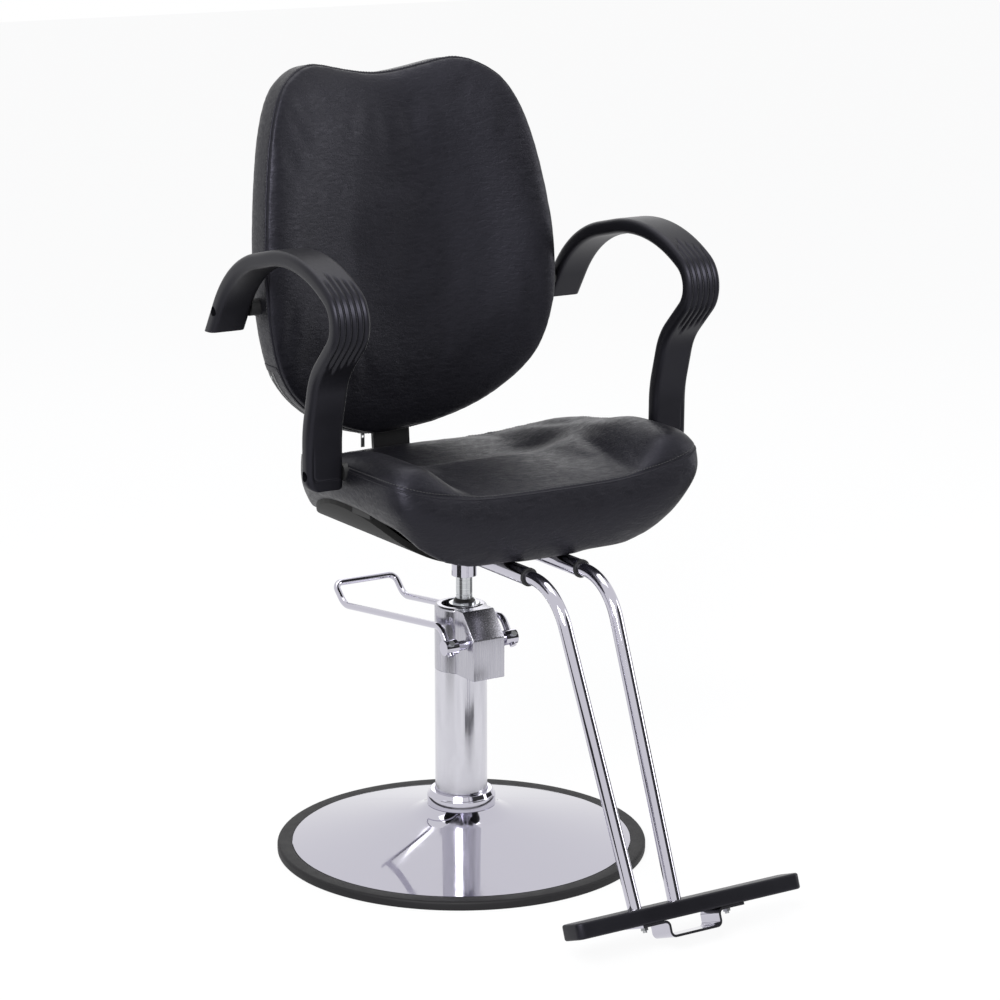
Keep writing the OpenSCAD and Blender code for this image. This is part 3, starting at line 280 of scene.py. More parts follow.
def filletPath(points, radii, step=2.5):
    # straight runs and round bends, as evenly spaced points in mm
    pts = [Vector(p) for p in points]
    out = [pts[0]]
    for i in range(1, len(pts) - 1):
        u = (pts[i - 1] - pts[i]).normalized()
        v = (pts[i + 1] - pts[i]).normalized()
        half = math.acos(max(-1, min(1, u.dot(v)))) / 2
        cut = radii[i - 1] / math.tan(half)
        centre = pts[i] + (u + v).normalized() * radii[i - 1] / math.sin(half)
        start = pts[i] + u * cut - centre
        end = pts[i] + v * cut - centre
        axis = start.cross(end).normalized()
        turn = math.pi - 2 * half
        count = max(6, int(radii[i - 1] * turn / step))
        out += [centre + Matrix.Rotation(turn * k / count, 3, axis) @ start for k in range(count + 1)]
    out.append(pts[-1])
    even = [out[0]]
    for a, b in zip(out, out[1:]):
        pieces = max(1, int((b - a).length / step))
        even += [a.lerp(b, k / pieces) for k in range(1, pieces + 1) if (b - a).length > 1e-4]
    return even


def loft(rings):
    # closed rings of equal count, joined one to the next, with a face over each end
    bm = bmesh.new()
    ring = [bm.verts.new(p) for p in rings[0]]
    loop = [bm.edges.new((ring[i], ring[(i + 1) % len(ring)])) for i in range(len(ring))]
    bmesh.ops.contextual_create(bm, geom=loop)
    for targets in rings[1:]:
        made = bmesh.ops.extrude_edge_only(bm, edges=loop)["geom"]
        fresh = {g for g in made if isinstance(g, bmesh.types.BMVert)}
        ring = [next(e.other_vert(v) for e in v.link_edges if e.other_vert(v) in fresh) for v in ring]
        for vert, target in zip(ring, targets):
            vert.co = target
        loop = [g for g in made if isinstance(g, bmesh.types.BMEdge)]
    bmesh.ops.contextual_create(bm, geom=loop)
    return bm


def sweepProfile(path, profile, wide, capSteps=((0.0, 0.0),)):
    # carries a closed flat profile along a path, its x along wide, and rounds both ends
    wide = Vector(wide)
    halfX = max(x for x, y in profile)
    halfY = max(y for x, y in profile)

    def placed(i, inset, ahead):
        a, b = path[max(0, i - 1)], path[min(len(path) - 1, i + 1)]
        along = (b - a).normalized()
        up = along.cross(wide).normalized()
        sx, sy = (halfX - inset) / halfX, (halfY - inset) / halfY
        return [(path[i] + along * ahead + wide * x * sx + up * y * sy) * mm for x, y in profile]

    rings = [placed(0, inset, -ahead) for ahead, inset in reversed(capSteps)]
    rings += [placed(i, 0, 0) for i in range(1, len(path) - 1)]
    rings += [placed(len(path) - 1, inset, ahead) for ahead, inset in capSteps]
    return loft(rings)


def roundRectProfile(w, t, r, edgeStep=3.0, cornerSteps=5, topStep=None):
    # closed profile, counter-clockwise, with close points on its +Y side when topStep is given
    points = []

    def run(a, b, step):
        count = max(1, int((Vector(b) - Vector(a)).length / step))
        return [tuple(Vector(a).lerp(Vector(b), k / count)) for k in range(count)]

    hw, ht = w / 2, t / 2
    sides = [((hw, -ht + r), (hw, ht - r), (hw - r, ht - r), 0, edgeStep),
             ((hw - r, ht), (-hw + r, ht), (-hw + r, ht - r), 90, topStep or edgeStep),
             ((-hw, ht - r), (-hw, -ht + r), (-hw + r, -ht + r), 180, edgeStep),
             ((-hw + r, -ht), (hw - r, -ht), (hw - r, -ht + r), 270, edgeStep)]
    for a, b, corner, angle, step in sides:
        points += run(a, b, step)
        points += arcPoints(corner[0], corner[1], r, angle, angle + 90, cornerSteps)[:-1]
    return points


def turnTo(direction):
    return Vector((0, 0, 1)).rotation_difference(direction.normalized()).to_matrix().to_4x4()


def applyModifiers(obj):
    graph = bpy.context.evaluated_depsgraph_get()
    mesh = bpy.data.meshes.new_from_object(obj.evaluated_get(graph))
    obj.modifiers.clear()
    obj.data = mesh


# base and column

base = {"rim": 270.0, "rimWidth": 22.0, "rimHeight": 13.0, "weight": 244.0, "crown": 66.0, "thick": 2.0,
        "collar": 50.0, "bore": 38.25, "wall": 17.0, "lip": 6.0, "hump": 7.0, "humpWidth": 30.0,
        "slip": 0.3, "tip": 4.2, "underside": 0.2}
column = {"r": 38.0, "bore": 35.0, "foot": 17.0, "top": 273.0, "chamfer": 0.4, "levels": 24}


def makeBase():
    rimInner = base["rim"] - base["rimWidth"]
    hole = base["bore"] + 0.6 * (base["collar"] - base["bore"])

    def height(r):
        # a low cone that sweeps up to the collar's seat
        out = max(0, r - base["collar"])
        cone = base["crown"] - base["hump"]
        cone += (base["rimHeight"] - cone) * out / (rimInner - base["slip"] - base["collar"])
        return cone + base["hump"] * max(0, 1 - out / base["humpWidth"]) ** 2

    radii = [hole] + [base["collar"] + base["humpWidth"] * i / 16 for i in range(17)]
    radii += [90.0 + (rimInner - 90.3) * i / 12 for i in range(13)]
    top = [(r, height(r)) for r in radii]
    edge = [(rimInner - base["slip"], 10.5), (rimInner + 9.0, 10.4), (rimInner + 9.0, 8.6),
            (rimInner - 2.4, 8.5)]
    under = [(r, z - base["thick"]) for r, z in reversed(top[:-2])]
    dome = finishMesh("baseDish", spun(top + edge + under + [top[0]], 256), chrome, "base", 30)
    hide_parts("base_dome")

    inner = base["weight"] + base["slip"]
    tip, low = base["tip"], base["underside"]
    rim = [(inner, low), (base["rim"] - 1.2, low), (base["rim"] - 0.2, 1.2), (base["rim"], 3.0)]
    rim += arcPoints(base["rim"] - tip, base["rimHeight"] - tip, tip, 10, 90, 8)
    rim += [(rimInner + 2.0, base["rimHeight"]), (rimInner + 0.6, base["rimHeight"] - 0.3),
            (rimInner, base["rimHeight"] - 1.2), (rimInner, 10.9), (rimInner + 9.3, 10.9),
            (rimInner + 9.3, 8.1), (inner, 8.1), (inner, low)]
    ring = finishMesh("baseRim", spun(rim, 256), rimMaterial, "base", 40)
    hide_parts("base_rim")

    low = base["crown"]
    r, wall = base["collar"], base["wall"]
    collar = [(base["bore"], low), (r - 0.8, low), (r, low + 0.8), (r, low + wall - 2.5)]
    collar += arcPoints(r - 2.5, low + wall - 2.5, 2.5, 0, 70, 6)
    collar += arcPoints(base["bore"] + 6.0, low + wall + base["lip"] - 3.0, 3.0, 60, 90, 3)
    collar += [(base["bore"] + 1.0, low + wall + base["lip"]), (base["bore"], low + wall + base["lip"] - 0.8),
               (base["bore"], low)]
    cover = finishMesh("columnCollar", spun(collar, 192), chrome, "base", 35)
    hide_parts("base_collar")

    r, bore, foot, top = (column[key] for key in ("r", "bore", "foot", "top"))
    walls = [(bore, foot), (r, foot)]
    walls += [(r, foot + (top - foot) * i / column["levels"]) for i in range(1, column["levels"])]
    walls += [(r, top - column["chamfer"]), (r - 0.3, top), (bore, top), (bore, foot)]
    tube = finishMesh("pumpColumn", spun(walls, 192), tubeChrome, "base", 35)
    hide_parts("pump_column")


makeBase()
print("base done")


# pump head, rod and lever

head = {"low": 273.0, "high": 369.0, "r": 38.05, "width": 53.0, "front": 77.0, "frontHeight": 60.0,
        "slope": 29.0, "cylinder": 22.05, "shaftOut": 51.0, "shaftZ": 322.0, "crown": 5.0, "wall": 6.0,
        "lidThick": 12.0, "back": -22.0, "edge": 1.4, "shaftHole": 7.05,
        "chamber": ((-12, -64, 292), (12, -29, 335))}


def makeHead():
    h = head
    inner, crown = h["cylinder"] + h["wall"], h["crown"]
    body = [(h["cylinder"], h["low"]), (h["r"] - 0.6, h["low"]), (h["r"], h["low"] + 0.6),
            (h["r"], h["high"] - crown)]
    body += arcPoints(h["r"] - crown, h["high"] - crown, crown, 0, 90, 8)
    body += [(inner + 0.3, h["high"]), (inner, h["high"] - 0.4), (inner, h["high"] - h["lidThick"]),
             (inner - 0.1, h["low"]), (h["cylinder"], h["low"])]
    shell = finishMesh("headCylinder", spun(body, 192), casting, "base", 35)
    # the block grows out of the cylinder's front, so its back edge is buried in it
    bm = bmesh.new()
    back = h["back"]
    side = [(back, h["low"]), (-h["front"], h["low"]), (-h["front"], h["low"] + h["frontHeight"]),
            (-h["front"] + h["slope"], h["high"]), (back, h["high"])]
    verts = [bm.verts.new((-h["width"] / 2 * mm, y * mm, z * mm)) for y, z in side]
    face = bm.faces.new(verts)
    made = bmesh.ops.extrude_face_region(bm, geom=[face])["geom"]
    bmesh.ops.translate(bm, verts=[g for g in made if isinstance(g, bmesh.types.BMVert)],
                        vec=(h["width"] * mm, 0, 0))
    bmesh.ops.recalc_face_normals(bm, faces=bm.faces)
    edges = [e for e in bm.edges if max(v.co.y for v in e.verts) < (back - 1) * mm or
             abs(e.verts[0].co.x - e.verts[1].co.x) < 1e-6 and min(v.co.y for v in e.verts) < (back - 1) * mm]
    bmesh.ops.bevel(bm, geom=edges, offset=h["edge"] * mm, segments=3, profile=0.5, affect="EDGES", material=-1)
    block = finishMesh("pumpBlock", bm, casting, None, 40)
    cutter = tubeCutter("shaftCutter", (-40, -h["shaftOut"], h["shaftZ"]), (40, -h["shaftOut"], h["shaftZ"]),
                        h["shaftHole"])
    chamber = boxCutter("chamberCutter", *h["chamber"])
    cut(block, cutter, chamber)
    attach(block, "base")
    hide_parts("pump_head")


def boxCutter(name, low, high):
    bm = bmesh.new()
    bmesh.ops.create_cube(bm, size=1)
    size = (Vector(high) - Vector(low)) * mm
    bmesh.ops.scale(bm, vec=size, verts=bm.verts)
    bmesh.ops.translate(bm, vec=(Vector(high) + Vector(low)) / 2 * mm, verts=bm.verts)
    return finishMesh(name, bm, paint, None)


def tubeCutter(name, a, b, radius, steps=48):
    a, b = Vector(a), Vector(b)
    bm = bmesh.new()
    bmesh.ops.create_cone(bm, cap_ends=True, segments=steps, radius1=radius * mm, radius2=radius * mm,
                          depth=(b - a).length * mm)
    bmesh.ops.transform(bm, matrix=Matrix.Translation((a + b) / 2 * mm) @ turnTo(b - a), verts=bm.verts)
    return finishMesh(name, bm, paint, None)


def cut(obj, *cutters):
    for cutter in cutters:
        modifier = obj.modifiers.new("cut", "BOOLEAN")
        modifier.operation = "DIFFERENCE"
        modifier.solver = "EXACT"
        modifier.object = cutter
    bpy.context.view_layer.update()
    applyModifiers(obj)
    for cutter in cutters:
        bpy.data.objects.remove(cutter)
    shadeSmooth(obj.data, 35)


lever = {"half": 52.0, "r": 5.0, "pitch": 39.0, "tail": 14.0, "stub": 34.0, "reach": 280.0, "barOut": 30.0,
         "barUp": 27.0, "sag": 7.0, "bends": (20, 30, 12, 12, 30, 20)}


def makeLever():
    s, c = math.sin(math.radians(lever["pitch"])), math.cos(math.radians(lever["pitch"]))
    y0, z0, x = -head["shaftOut"], head["shaftZ"], lever["half"]
    half = [(x, y0 - lever["tail"] * s, z0 - lever["tail"] * c),
            (x, y0 + lever["stub"] * s, z0 + lever["stub"] * c),
            (x, lever["reach"] - lever["barOut"], z0 - lever["sag"]),
            (x, lever["reach"], z0 - lever["sag"] + lever["barUp"])]
    path = filletPath(half + [(-a, b, d) for a, b, d in reversed(half)], lever["bends"])
    rod = leverTube(path)
    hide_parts("pump_lever")


def leverTube(path):
    curve = bpy.data.curves.new("leverRod", "CURVE")
    curve.dimensions = "3D"
    curve.bevel_depth = lever["r"] * mm
    curve.bevel_resolution = 8
    curve.use_fill_caps = True
    spline = curve.splines.new("POLY")
    spline.points.add(len(path) - 1)
    for point, place in zip(spline.points, path):
        point.co = (*(place * mm), 1)
    holder = bpy.data.objects.new("leverRodCurve", curve)
    bpy.context.scene.collection.objects.link(holder)
    graph = bpy.context.evaluated_depsgraph_get()
    mesh = bpy.data.meshes.new_from_object(holder.evaluated_get(graph))
    bpy.data.objects.remove(holder)
    bm = bmesh.new()
    bm.from_mesh(mesh)
    bmesh.ops.remove_doubles(bm, verts=bm.verts, dist=0.01 * mm)
    return finishMesh("leverRod", bm, chrome, "lever", 50)


makeHead()
makeLever()
print("pump done")


# footrest

foot = {"spacing": 86.0, "footSpacing": 64.0, "bend": 85.0, "r": 9.5, "start": -120.0, "corner": -306.0,
        "sleeveZ": 466.5, "plateY": -486.0, "plateZ": 62.5, "tilt": 21.0, "sink": 13.0, "length": 365.0,
        "depth": 48.0, "thick": 22.0, "offset": 44.0, "plateCorner": 10.0, "edge": 3.2}


def makeFootrest():
    tilt = math.radians(foot["tilt"])
    endY = foot["plateY"] - foot["sink"] * math.sin(tilt)
    endZ = foot["plateZ"] - foot["sink"] * math.cos(tilt)
    profile = arcPoints(0, 0, foot["r"], 0, 360, 40)[:-1]
    aside = upperX / mm
    for name, s in (("left", 1), ("right", -1)):
        x0, x1 = s * foot["spacing"] / 2 + aside, s * foot["footSpacing"] / 2 + aside
        path = filletPath([(x0, foot["start"], foot["sleeveZ"]), (x0, foot["corner"], foot["sleeveZ"]),
                           (x1, endY, endZ)], [foot["bend"]])
        tube = finishMesh(f"footTube_{name}", sweepProfile(path, profile, (1, 0, 0)), chrome, "seat", 50)
        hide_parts(f"footrest_tube_{name}")
    bm = bmesh.new()
    bmesh.ops.create_cube(bm, size=1)
    bmesh.ops.scale(bm, vec=(foot["length"] * mm, foot["depth"] * mm, foot["thick"] * mm), verts=bm.verts)
    bmesh.ops.bevel(bm, geom=[e for e in bm.edges if abs(e.verts[0].co.z - e.verts[1].co.z) > 1e-6],
                    offset=foot["plateCorner"] * mm, segments=8, profile=0.5, affect="EDGES", material=-1)
    bmesh.ops.bevel(bm, geom=[e for e in bm.edges if abs(e.verts[0].co.z - e.verts[1].co.z) < 1e-6 and
                              len({round(f.normal.z, 2) for f in e.link_faces}) > 1],
                    offset=foot["edge"] * mm, segments=4, profile=0.5, affect="EDGES", material=-1)
    place = Matrix.Translation((foot["offset"] * mm + upperX, foot["plateY"] * mm, foot["plateZ"] * mm))
    place @= Matrix.Rotation(-tilt, 4, "X") @ Matrix.Translation((0, 0, -foot["thick"] / 2 * mm))
    bmesh.ops.transform(bm, matrix=place, verts=bm.verts)
    plate = finishMesh("footPlate", bm, foam, "seat", 40)
    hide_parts("footplate_cover")


makeFootrest()
print("footrest done")


# armrests

arm = {"gap": 512.0, "width": 56.0, "thick": 22.0, "round": 8.0, "backY": 186.04, "backZ": 765.0, "span": 388.0,
       "crest": 148.0, "footY": -97.0, "footZ": 590.0,
       "shares": ((0, 0), (0.173, 0.709), (0.686, 1), (1, 0.48), (0.786, -0.095), (0.732, -0.622)),
       "bends": (0.451, 0.567, 0.108, 0.222, 0.412), "rearCut": 766.5,
       "screws": ((-97.0, 612.0), (163.9, 799.5)), "screwSeat": 26.0, "recess": 7.2, "shank": 4.25,
       "toeOuter": 17.0, "toeInner": 5.0, "panelZ": 605.0, "panelIn": 9.0, "panelCorner": 9.0,
       "panelDepth": 0.9, "legY": -60.0, "bendZ": 632.0, "toeTop": 660.0}
grooves = {"pitch": 9.0, "halfWidth": 3.1, "depth": 2.7, "from": 897.0, "to": 762.0, "taper": 14.0,
           "top": (15.0, 0.0, 9.0, 16.0, 22.0), "bottom": (14.0, 0.0, 11.0, 16.0, 20.0)}


def makeArm(side):
    points = [(0, arm["backY"] - a * arm["span"], arm["backZ"] + b * arm["crest"]) for a, b in arm["shares"]]
    points.append((0, arm["footY"], arm["footZ"]))
    centreX = (arm["gap"] + arm["width"]) / 2
    radii = [b * arm["span"] for b in arm["bends"]]
    path = [p + Vector((centreX, 0, 0)) for p in filletPath(points, radii, 2.2)]
    path[0] = path[0] - (path[1] - path[0]).normalized() * 16  # spare length for the level cut
    fine = [p for p in path if p.z > arm["bendZ"] or p.y > arm["legY"]]
    low = [p for p in path if p.z <= arm["bendZ"] and p.y <= arm["legY"]]
    low = [a.lerp(b, k / 3) for a, b in zip(low, low[1:]) for k in range(3)] + [low[-1]]
    path = fine + low
    profile = roundRectProfile(arm["width"], arm["thick"], arm["round"], 3.0, 6, 0.9)
    bm = sweepProfile(path, profile, (1, 0, 0), ((-2.5, 0.0), (-1.2, 0.4), (-0.4, 1.2), (0.0, 2.5)))
    bmesh.ops.recalc_face_normals(bm, faces=bm.faces)
    cutGrooves(bm, path, centreX, side)
    shapeToe(bm, centreX)
    levelRear(bm)
    obj = finishMesh(f"armPad_{side}", bm, foam, None, 50)
    cutters = []
    for y, z in arm["screws"]:
        inner = arm["gap"] / 2
        seatX = inner + arm["screwSeat"]
        cutters.append(tubeCutter("recessCutter", (seatX, y, z), (inner + 80, y, z), arm["recess"]))
        cutters.append(tubeCutter("shankCutter", (inner - 5, y, z), (seatX + 1, y, z), arm["shank"]))
    cut(obj, *cutters)
    shadeSmooth(obj.data, 50)
    if side == "right":
        obj.data.transform(Matrix.Scale(-1, 4, (1, 0, 0)))
        obj.data.flip_normals()
    obj.data.transform(Matrix.Translation((upperX, 0, 0)))
    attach(obj, "seat")
    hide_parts(f"arm_{side}", f"arm_core_{side}")


def levelRear(bm):
    # the rear end of the moulding is cut off level
    near = [g for kind in (bm.verts, bm.edges, bm.faces) for g in kind
            if min(v.co.y for v in (g.verts if hasattr(g, "verts") else [g])) > 100 * mm]
    made = bmesh.ops.bisect_plane(bm, geom=near, plane_co=(0, 0, arm["rearCut"] * mm), plane_no=(0, 0, -1),
                                  clear_outer=True)
    rim = [g for g in made["geom_cut"] if isinstance(g, bmesh.types.BMEdge)]
    lid = bmesh.ops.contextual_create(bm, geom=rim)["faces"]
    bmesh.ops.bevel(bm, geom=[e for f in lid for e in f.edges], offset=1.0 * mm, segments=2, profile=0.5,
                    affect="EDGES", material=-1)


def shapeToe(bm, centreX):
    # the foot is rounded off below, more on its outer side, and a stepped line borders its front panel
    half = arm["width"] / 2
    for vert in bm.verts:
        p = vert.co / mm
        if p.y > arm["legY"] or p.z > arm["toeTop"]:
            continue
        up = p.z - arm["footZ"]
        r = arm["toeOuter"] if p.x > centreX else arm["toeInner"]
        if up < r:
            limit = half - r + math.sqrt(max(0, r * r - (r - max(0, up)) ** 2))
            vert.co.x = (centreX + (p.x - centreX) * limit / half) * mm
        if p.y > arm["footY"] - 6:
            continue
        # distance to the border: a level line, a round corner and a rise up the outer side
        cx, cz = centreX + half - arm["panelIn"] - arm["panelCorner"], arm["panelZ"] + arm["panelCorner"]
        if p.x < cx:
            d = abs(p.z - arm["panelZ"])
        elif p.z < cz:
            d = abs(math.hypot(p.x - cx, p.z - cz) - arm["panelCorner"])
        else:
            d = abs(p.x - cx - arm["panelCorner"])
        fade = ease((arm["toeTop"] - p.z) / 30)
        inside = 1 if p.z > arm["panelZ"] and p.x < cx + arm["panelCorner"] else 0
        vert.co.y += (arm["panelDepth"] * math.exp(-(d / 1.3) ** 2) + 0.3 * inside) * fade * mm


def cutGrooves(bm, path, centreX, side):
    # long finger grooves down the outer face of the front bend, their ends stepped; both arms have the same
    # steps, counted from the same side of the chair
    bm.normal_update()
    front = [p for p in path if p.y < arm["legY"]]
    run = [0.0]
    for a, b in zip(front, front[1:]):
        run.append(run[-1] + (b - a).length)
    first = next(i for i, p in enumerate(front) if p.y < -120 and p.z < grooves["from"])
    last = next(i for i, p in enumerate(front) if i > first and p.z < grooves["to"])
    top, bottom = grooves["top"], grooves["bottom"]
    if side == "left":
        top, bottom = top[::-1], bottom[::-1]
    tree = BVHTree.FromPolygons([(0, p.y, p.z) for p in front] + [(1, p.y, p.z) for p in front],
                                [(i, i + 1, i + 1 + len(front), i + len(front)) for i in range(len(front) - 1)])
    for vert in bm.verts:
        p = vert.co / mm
        if p.y > arm["legY"]:
            continue
        place = tree.find_nearest((0.5, p.y, p.z))
        i = min(place[2], len(front) - 2)
        along = (front[i + 1] - front[i]).normalized()
        outward = along.cross(Vector((1, 0, 0)))
        offset = Vector((0, p.y, p.z)) - Vector((0, front[i].y, front[i].z))
        if offset.dot(outward) < arm["thick"] / 2 - 3:
            continue
        s = run[i] + offset.dot(along)
        depth = 0.0
        for k in range(len(top)):
            across = abs(p.x - centreX - (2 - k) * grooves["pitch"]) / grooves["halfWidth"]
            if across < 1:
                inside = min(s - run[first] - top[k], run[last] - bottom[k] - s) / grooves["taper"]
                depth = max(depth, (1 - across) ** 0.9 * ease(inside))
        vert.co -= outward * depth * grooves["depth"] * mm


def ease(t):
    t = max(0, min(1, t))
    return t * t * (3 - 2 * t)


makeArm("left")
makeArm("right")
print("arms done")


# upholstery

seat = {"half": 250.0, "front": 245.0, "rear": 195.0, "frontZ": 586.0, "rearZ": 565.0, "rise": 31.0,
        "lipStart": 30.0,
        "outline": ((0, -0.98), (0.45, -0.985), (0.79, -0.985), (0.945, -0.955), (1.002, -0.84), (1.005, -0.55),
                    (1, -0.08), (0.928, 0.282), (0.78, 0.605), (0.54, 0.885), (0.28, 0.99), (0, 1.005)),
        "boardTop": 490.0, "boardFlat": 100.0, "boardBend": 157.0, "roll": 12.0, "hang": 5.0, "pan": 560.0,
        "lip": 28.0, "lipRun": 90.0, "rearRoll": 8.0, "bolster": 52.0, "bolsterStart": 118.0,
        "bolsterRun": 92.0, "bolsterLip": 60.0,
        "voxel": 5.0, "shrink": 1.0, "pressure": 4.0, "cap": 7.0, "rounds": 8, "settle": 9}
back = {"half": 243.0, "height": 540.0, "low": -210.0, "y": 210.0, "armLine": 800.0, "lean": 4.4,
        "curve": 410.0, "crown": 27.0, "boxing": 52.0,
        "outline": ((0, 0), (0.28, 0.009), (0.6, 0.063), (0.86, 0.165), (0.975, 0.3), (1, 0.46), (0.965, 0.64),
                    (0.885, 0.82), (0.775, 0.93), (0.62, 0.985), (0.46, 1), (0.22, 0.98), (0, 0.968)),
        "voxel": 5.0, "shrink": 1.5, "pressure": 4.0, "cap": 7.0, "rounds": 8, "settle": 12}


def catmull(points, steps):
    n = len(points)
    out = []
    for i in range(n):
        a, b, c, d = (Vector(points[(i + k) % n]) for k in (-1, 0, 1, 2))
        for k in range(steps):
            t = k / steps
            out.append((2 * b + (c - a) * t + (2 * a - 5 * b + 4 * c - d) * t ** 2
                        + (3 * b - a - 3 * c + d) * t ** 3) / 2)
    return out


def seatLine(steps):
    shares = list(seat["outline"]) + [(-x, y) for x, y in reversed(seat["outline"][1:-1])]
    points = [(x * seat["half"], y * (seat["front"] if y < 0 else seat["rear"])) for x, y in shares]
    return catmull(points, steps)


def seamHeight(x, y):
    behind = max(0, y + seat["lipStart"]) / (seat["rear"] + seat["lipStart"])
    z = seat["frontZ"] + (seat["rearZ"] - seat["frontZ"]) * behind ** 2
    return z + seat["rise"] * (abs(x) / seat["half"]) ** 3


def seatSeam(grow=1.0, down=0.0):
    return [Vector((x * grow * mm + upperX, y * grow * mm, (seamHeight(x, y) - down) * mm))
            for x, y in seatLine(12)]


def boardHeight(x):
    over = max(0, abs(x) - seat["boardFlat"])
    return seat["boardTop"] + seat["boardBend"] - math.sqrt(seat["boardBend"] ** 2 - over ** 2)


def seatTopHeight(x, y):
    behind = ease((y - seat["lipStart"]) / (seat["rear"] - seat["lipStart"]))
    side = ease((abs(x) - seat["bolsterStart"]) / seat["bolsterRun"])
    lip = seat["lip"] * ease((seat["lipStart"] - y) / (seat["lipRun"] + seat["bolsterLip"] * side))
    return seat["pan"] + lip + seat["rearRoll"] * behind + seat["bolster"] * (1 - 0.6 * behind) * side


def seatRing(across, ahead, behind, mode, share):
    # one level of the cushion: its outline scaled sideways, forwards and backwards, at its own height
    ring = []
    for x, y in seatLine(6):
        qx, qy = x * across, y * (ahead if y < 0 else behind)
        seam = seamHeight(x, y)
        if mode == "under":
            z = boardHeight(qx)
        elif mode == "hem":
            z = boardHeight(qx) - seat["hang"] - (seat["roll"] - seat["hang"]) * ease((-y - 120) / 60)
        elif mode == "wall":
            low = boardHeight(x * 0.912)
            z = low + (seam - low) * share
        else:
            z = seam + (seatTopHeight(qx, qy) - seam) * share
        ring.append(Vector((qx * mm + upperX, qy * mm, z * mm)))
    return ring


def backPoint(x, y, z):
    bent = y - (back["curve"] - math.sqrt(back["curve"] ** 2 - x ** 2))
    lean = math.radians(back["lean"])
    return Vector((x * mm + upperX, (back["y"] + bent * math.cos(lean) + z * math.sin(lean)) * mm,
                   (back["armLine"] + z * math.cos(lean) - bent * math.sin(lean)) * mm))


def backRing(grow, depth, steps=12):
    shares = list(back["outline"]) + [(-x, z) for x, z in reversed(back["outline"][1:-1])]
    flat = [(x * back["half"], back["low"] + z * back["height"]) for x, z in shares]
    middle = back["low"] + back["height"] / 2
    return [backPoint(x * grow, depth, middle + (z - middle) * grow) for x, z in catmull(flat, steps)]


def curveTree(points):
    # a thin ribbon along a closed curve, for distances to it
    n = len(points)
    verts = list(points) + [p + Vector((0, 0, 1e-5)) for p in points]
    return BVHTree.FromPolygons(verts, [(i, (i + 1) % n, n + (i + 1) % n, n + i) for i in range(n)])


def upholster(obj, settings, *seams):
    # the seams stay where they are, and the cover between them swells
    remesh = obj.modifiers.new("remesh", "REMESH")
    remesh.mode = "VOXEL"
    remesh.voxel_size = settings["voxel"] * mm
    bpy.context.view_layer.update()
    applyModifiers(obj)
    trees = [curveTree(seam) for seam in seams]
    bm = bmesh.new()
    bm.from_mesh(obj.data)
    distance = [min(tree.find_nearest(v.co)[3] for tree in trees) for v in bm.verts]
    edgeReach = settings["voxel"] * 0.9 * mm
    free = [v for v in bm.verts if distance[v.index] > edgeReach]
    edge = [v for v in bm.verts if distance[v.index] <= edgeReach]
    smoothVerts(bm, free, settings["rounds"])
    smoothVerts(bm, edge, 3)
    bm.normal_update()
    for v in bm.verts:
        v.co -= v.normal * settings["shrink"] * mm * ease(distance[v.index] / (18 * mm))
    bm.to_mesh(obj.data)
    inflate(obj, settings, [i for i, d in enumerate(distance) if d < settings["voxel"] * 1.4 * mm])
    for v, moved in zip(bm.verts, obj.data.vertices):
        v.co = moved.co
    smoothVerts(bm, free, settings["settle"])
    bm.to_mesh(obj.data)
    bm.free()


def smoothVerts(bm, verts, rounds):
    for _ in range(rounds):
        bmesh.ops.smooth_vert(bm, verts=verts, factor=0.5, use_axis_x=True, use_axis_y=True,
                              use_axis_z=True)


def inflate(obj, settings, pinned):
    group = obj.vertex_groups.new(name="pinned")
    group.add(pinned, 1.0, "REPLACE")
    modifier = obj.modifiers.new("cloth", "CLOTH")
    cloth = modifier.settings
    cloth.quality = 4
    cloth.mass = 0.35
    cloth.tension_stiffness = 18
    cloth.compression_stiffness = 18
    cloth.shear_stiffness = 8
    cloth.bending_stiffness = 2.5
    cloth.use_pressure = True
    cloth.uniform_pressure_force = settings["pressure"]
    cloth.vertex_group_mass = "pinned"
    cloth.effector_weights.gravity = 0
    start = [v.co.copy() for v in obj.data.vertices]
    scene = bpy.context.scene
    for step in range(1, 21):
        scene.frame_set(step)
    graph = bpy.context.evaluated_depsgraph_get()
    moved = [v.co.copy() for v in obj.evaluated_get(graph).data.vertices]
    obj.modifiers.clear()
    scene.frame_set(1)
    limit = settings["cap"] * mm
    for vert, a, b in zip(obj.data.vertices, start, moved):
        shift = b - a
        vert.co = a + shift.normalized() * limit * math.tanh(shift.length / limit)
    obj.vertex_groups.clear()
    obj.data.update()


def finishPad(obj, *replaced):
    subdivide = obj.modifiers.new("subdivide", "SUBSURF")
    subdivide.levels = 1
    subdivide.render_levels = 1
    bpy.context.view_layer.update()
    applyModifiers(obj)
    shadeSmooth(obj.data, 180)
    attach(obj, "seat")
    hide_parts(*replaced)


def pressSeam(obj, seam, width=3.0, depth=2.4):
    near = curveTree(seam)
    mesh = obj.data
    normals = [v.normal.copy() for v in mesh.vertices]
    for vert, normal in zip(mesh.vertices, normals):
        d = near.find_nearest(vert.co)[3] / (width * mm)
        if d < 2.5:
            vert.co -= normal * depth * mm * math.exp(-d * d)
    mesh.update()


def surfaceTree(obj):
    mesh = obj.data
    return BVHTree.FromPolygons([v.co.copy() for v in mesh.vertices],
                                [tuple(p.vertices) for p in mesh.polygons])


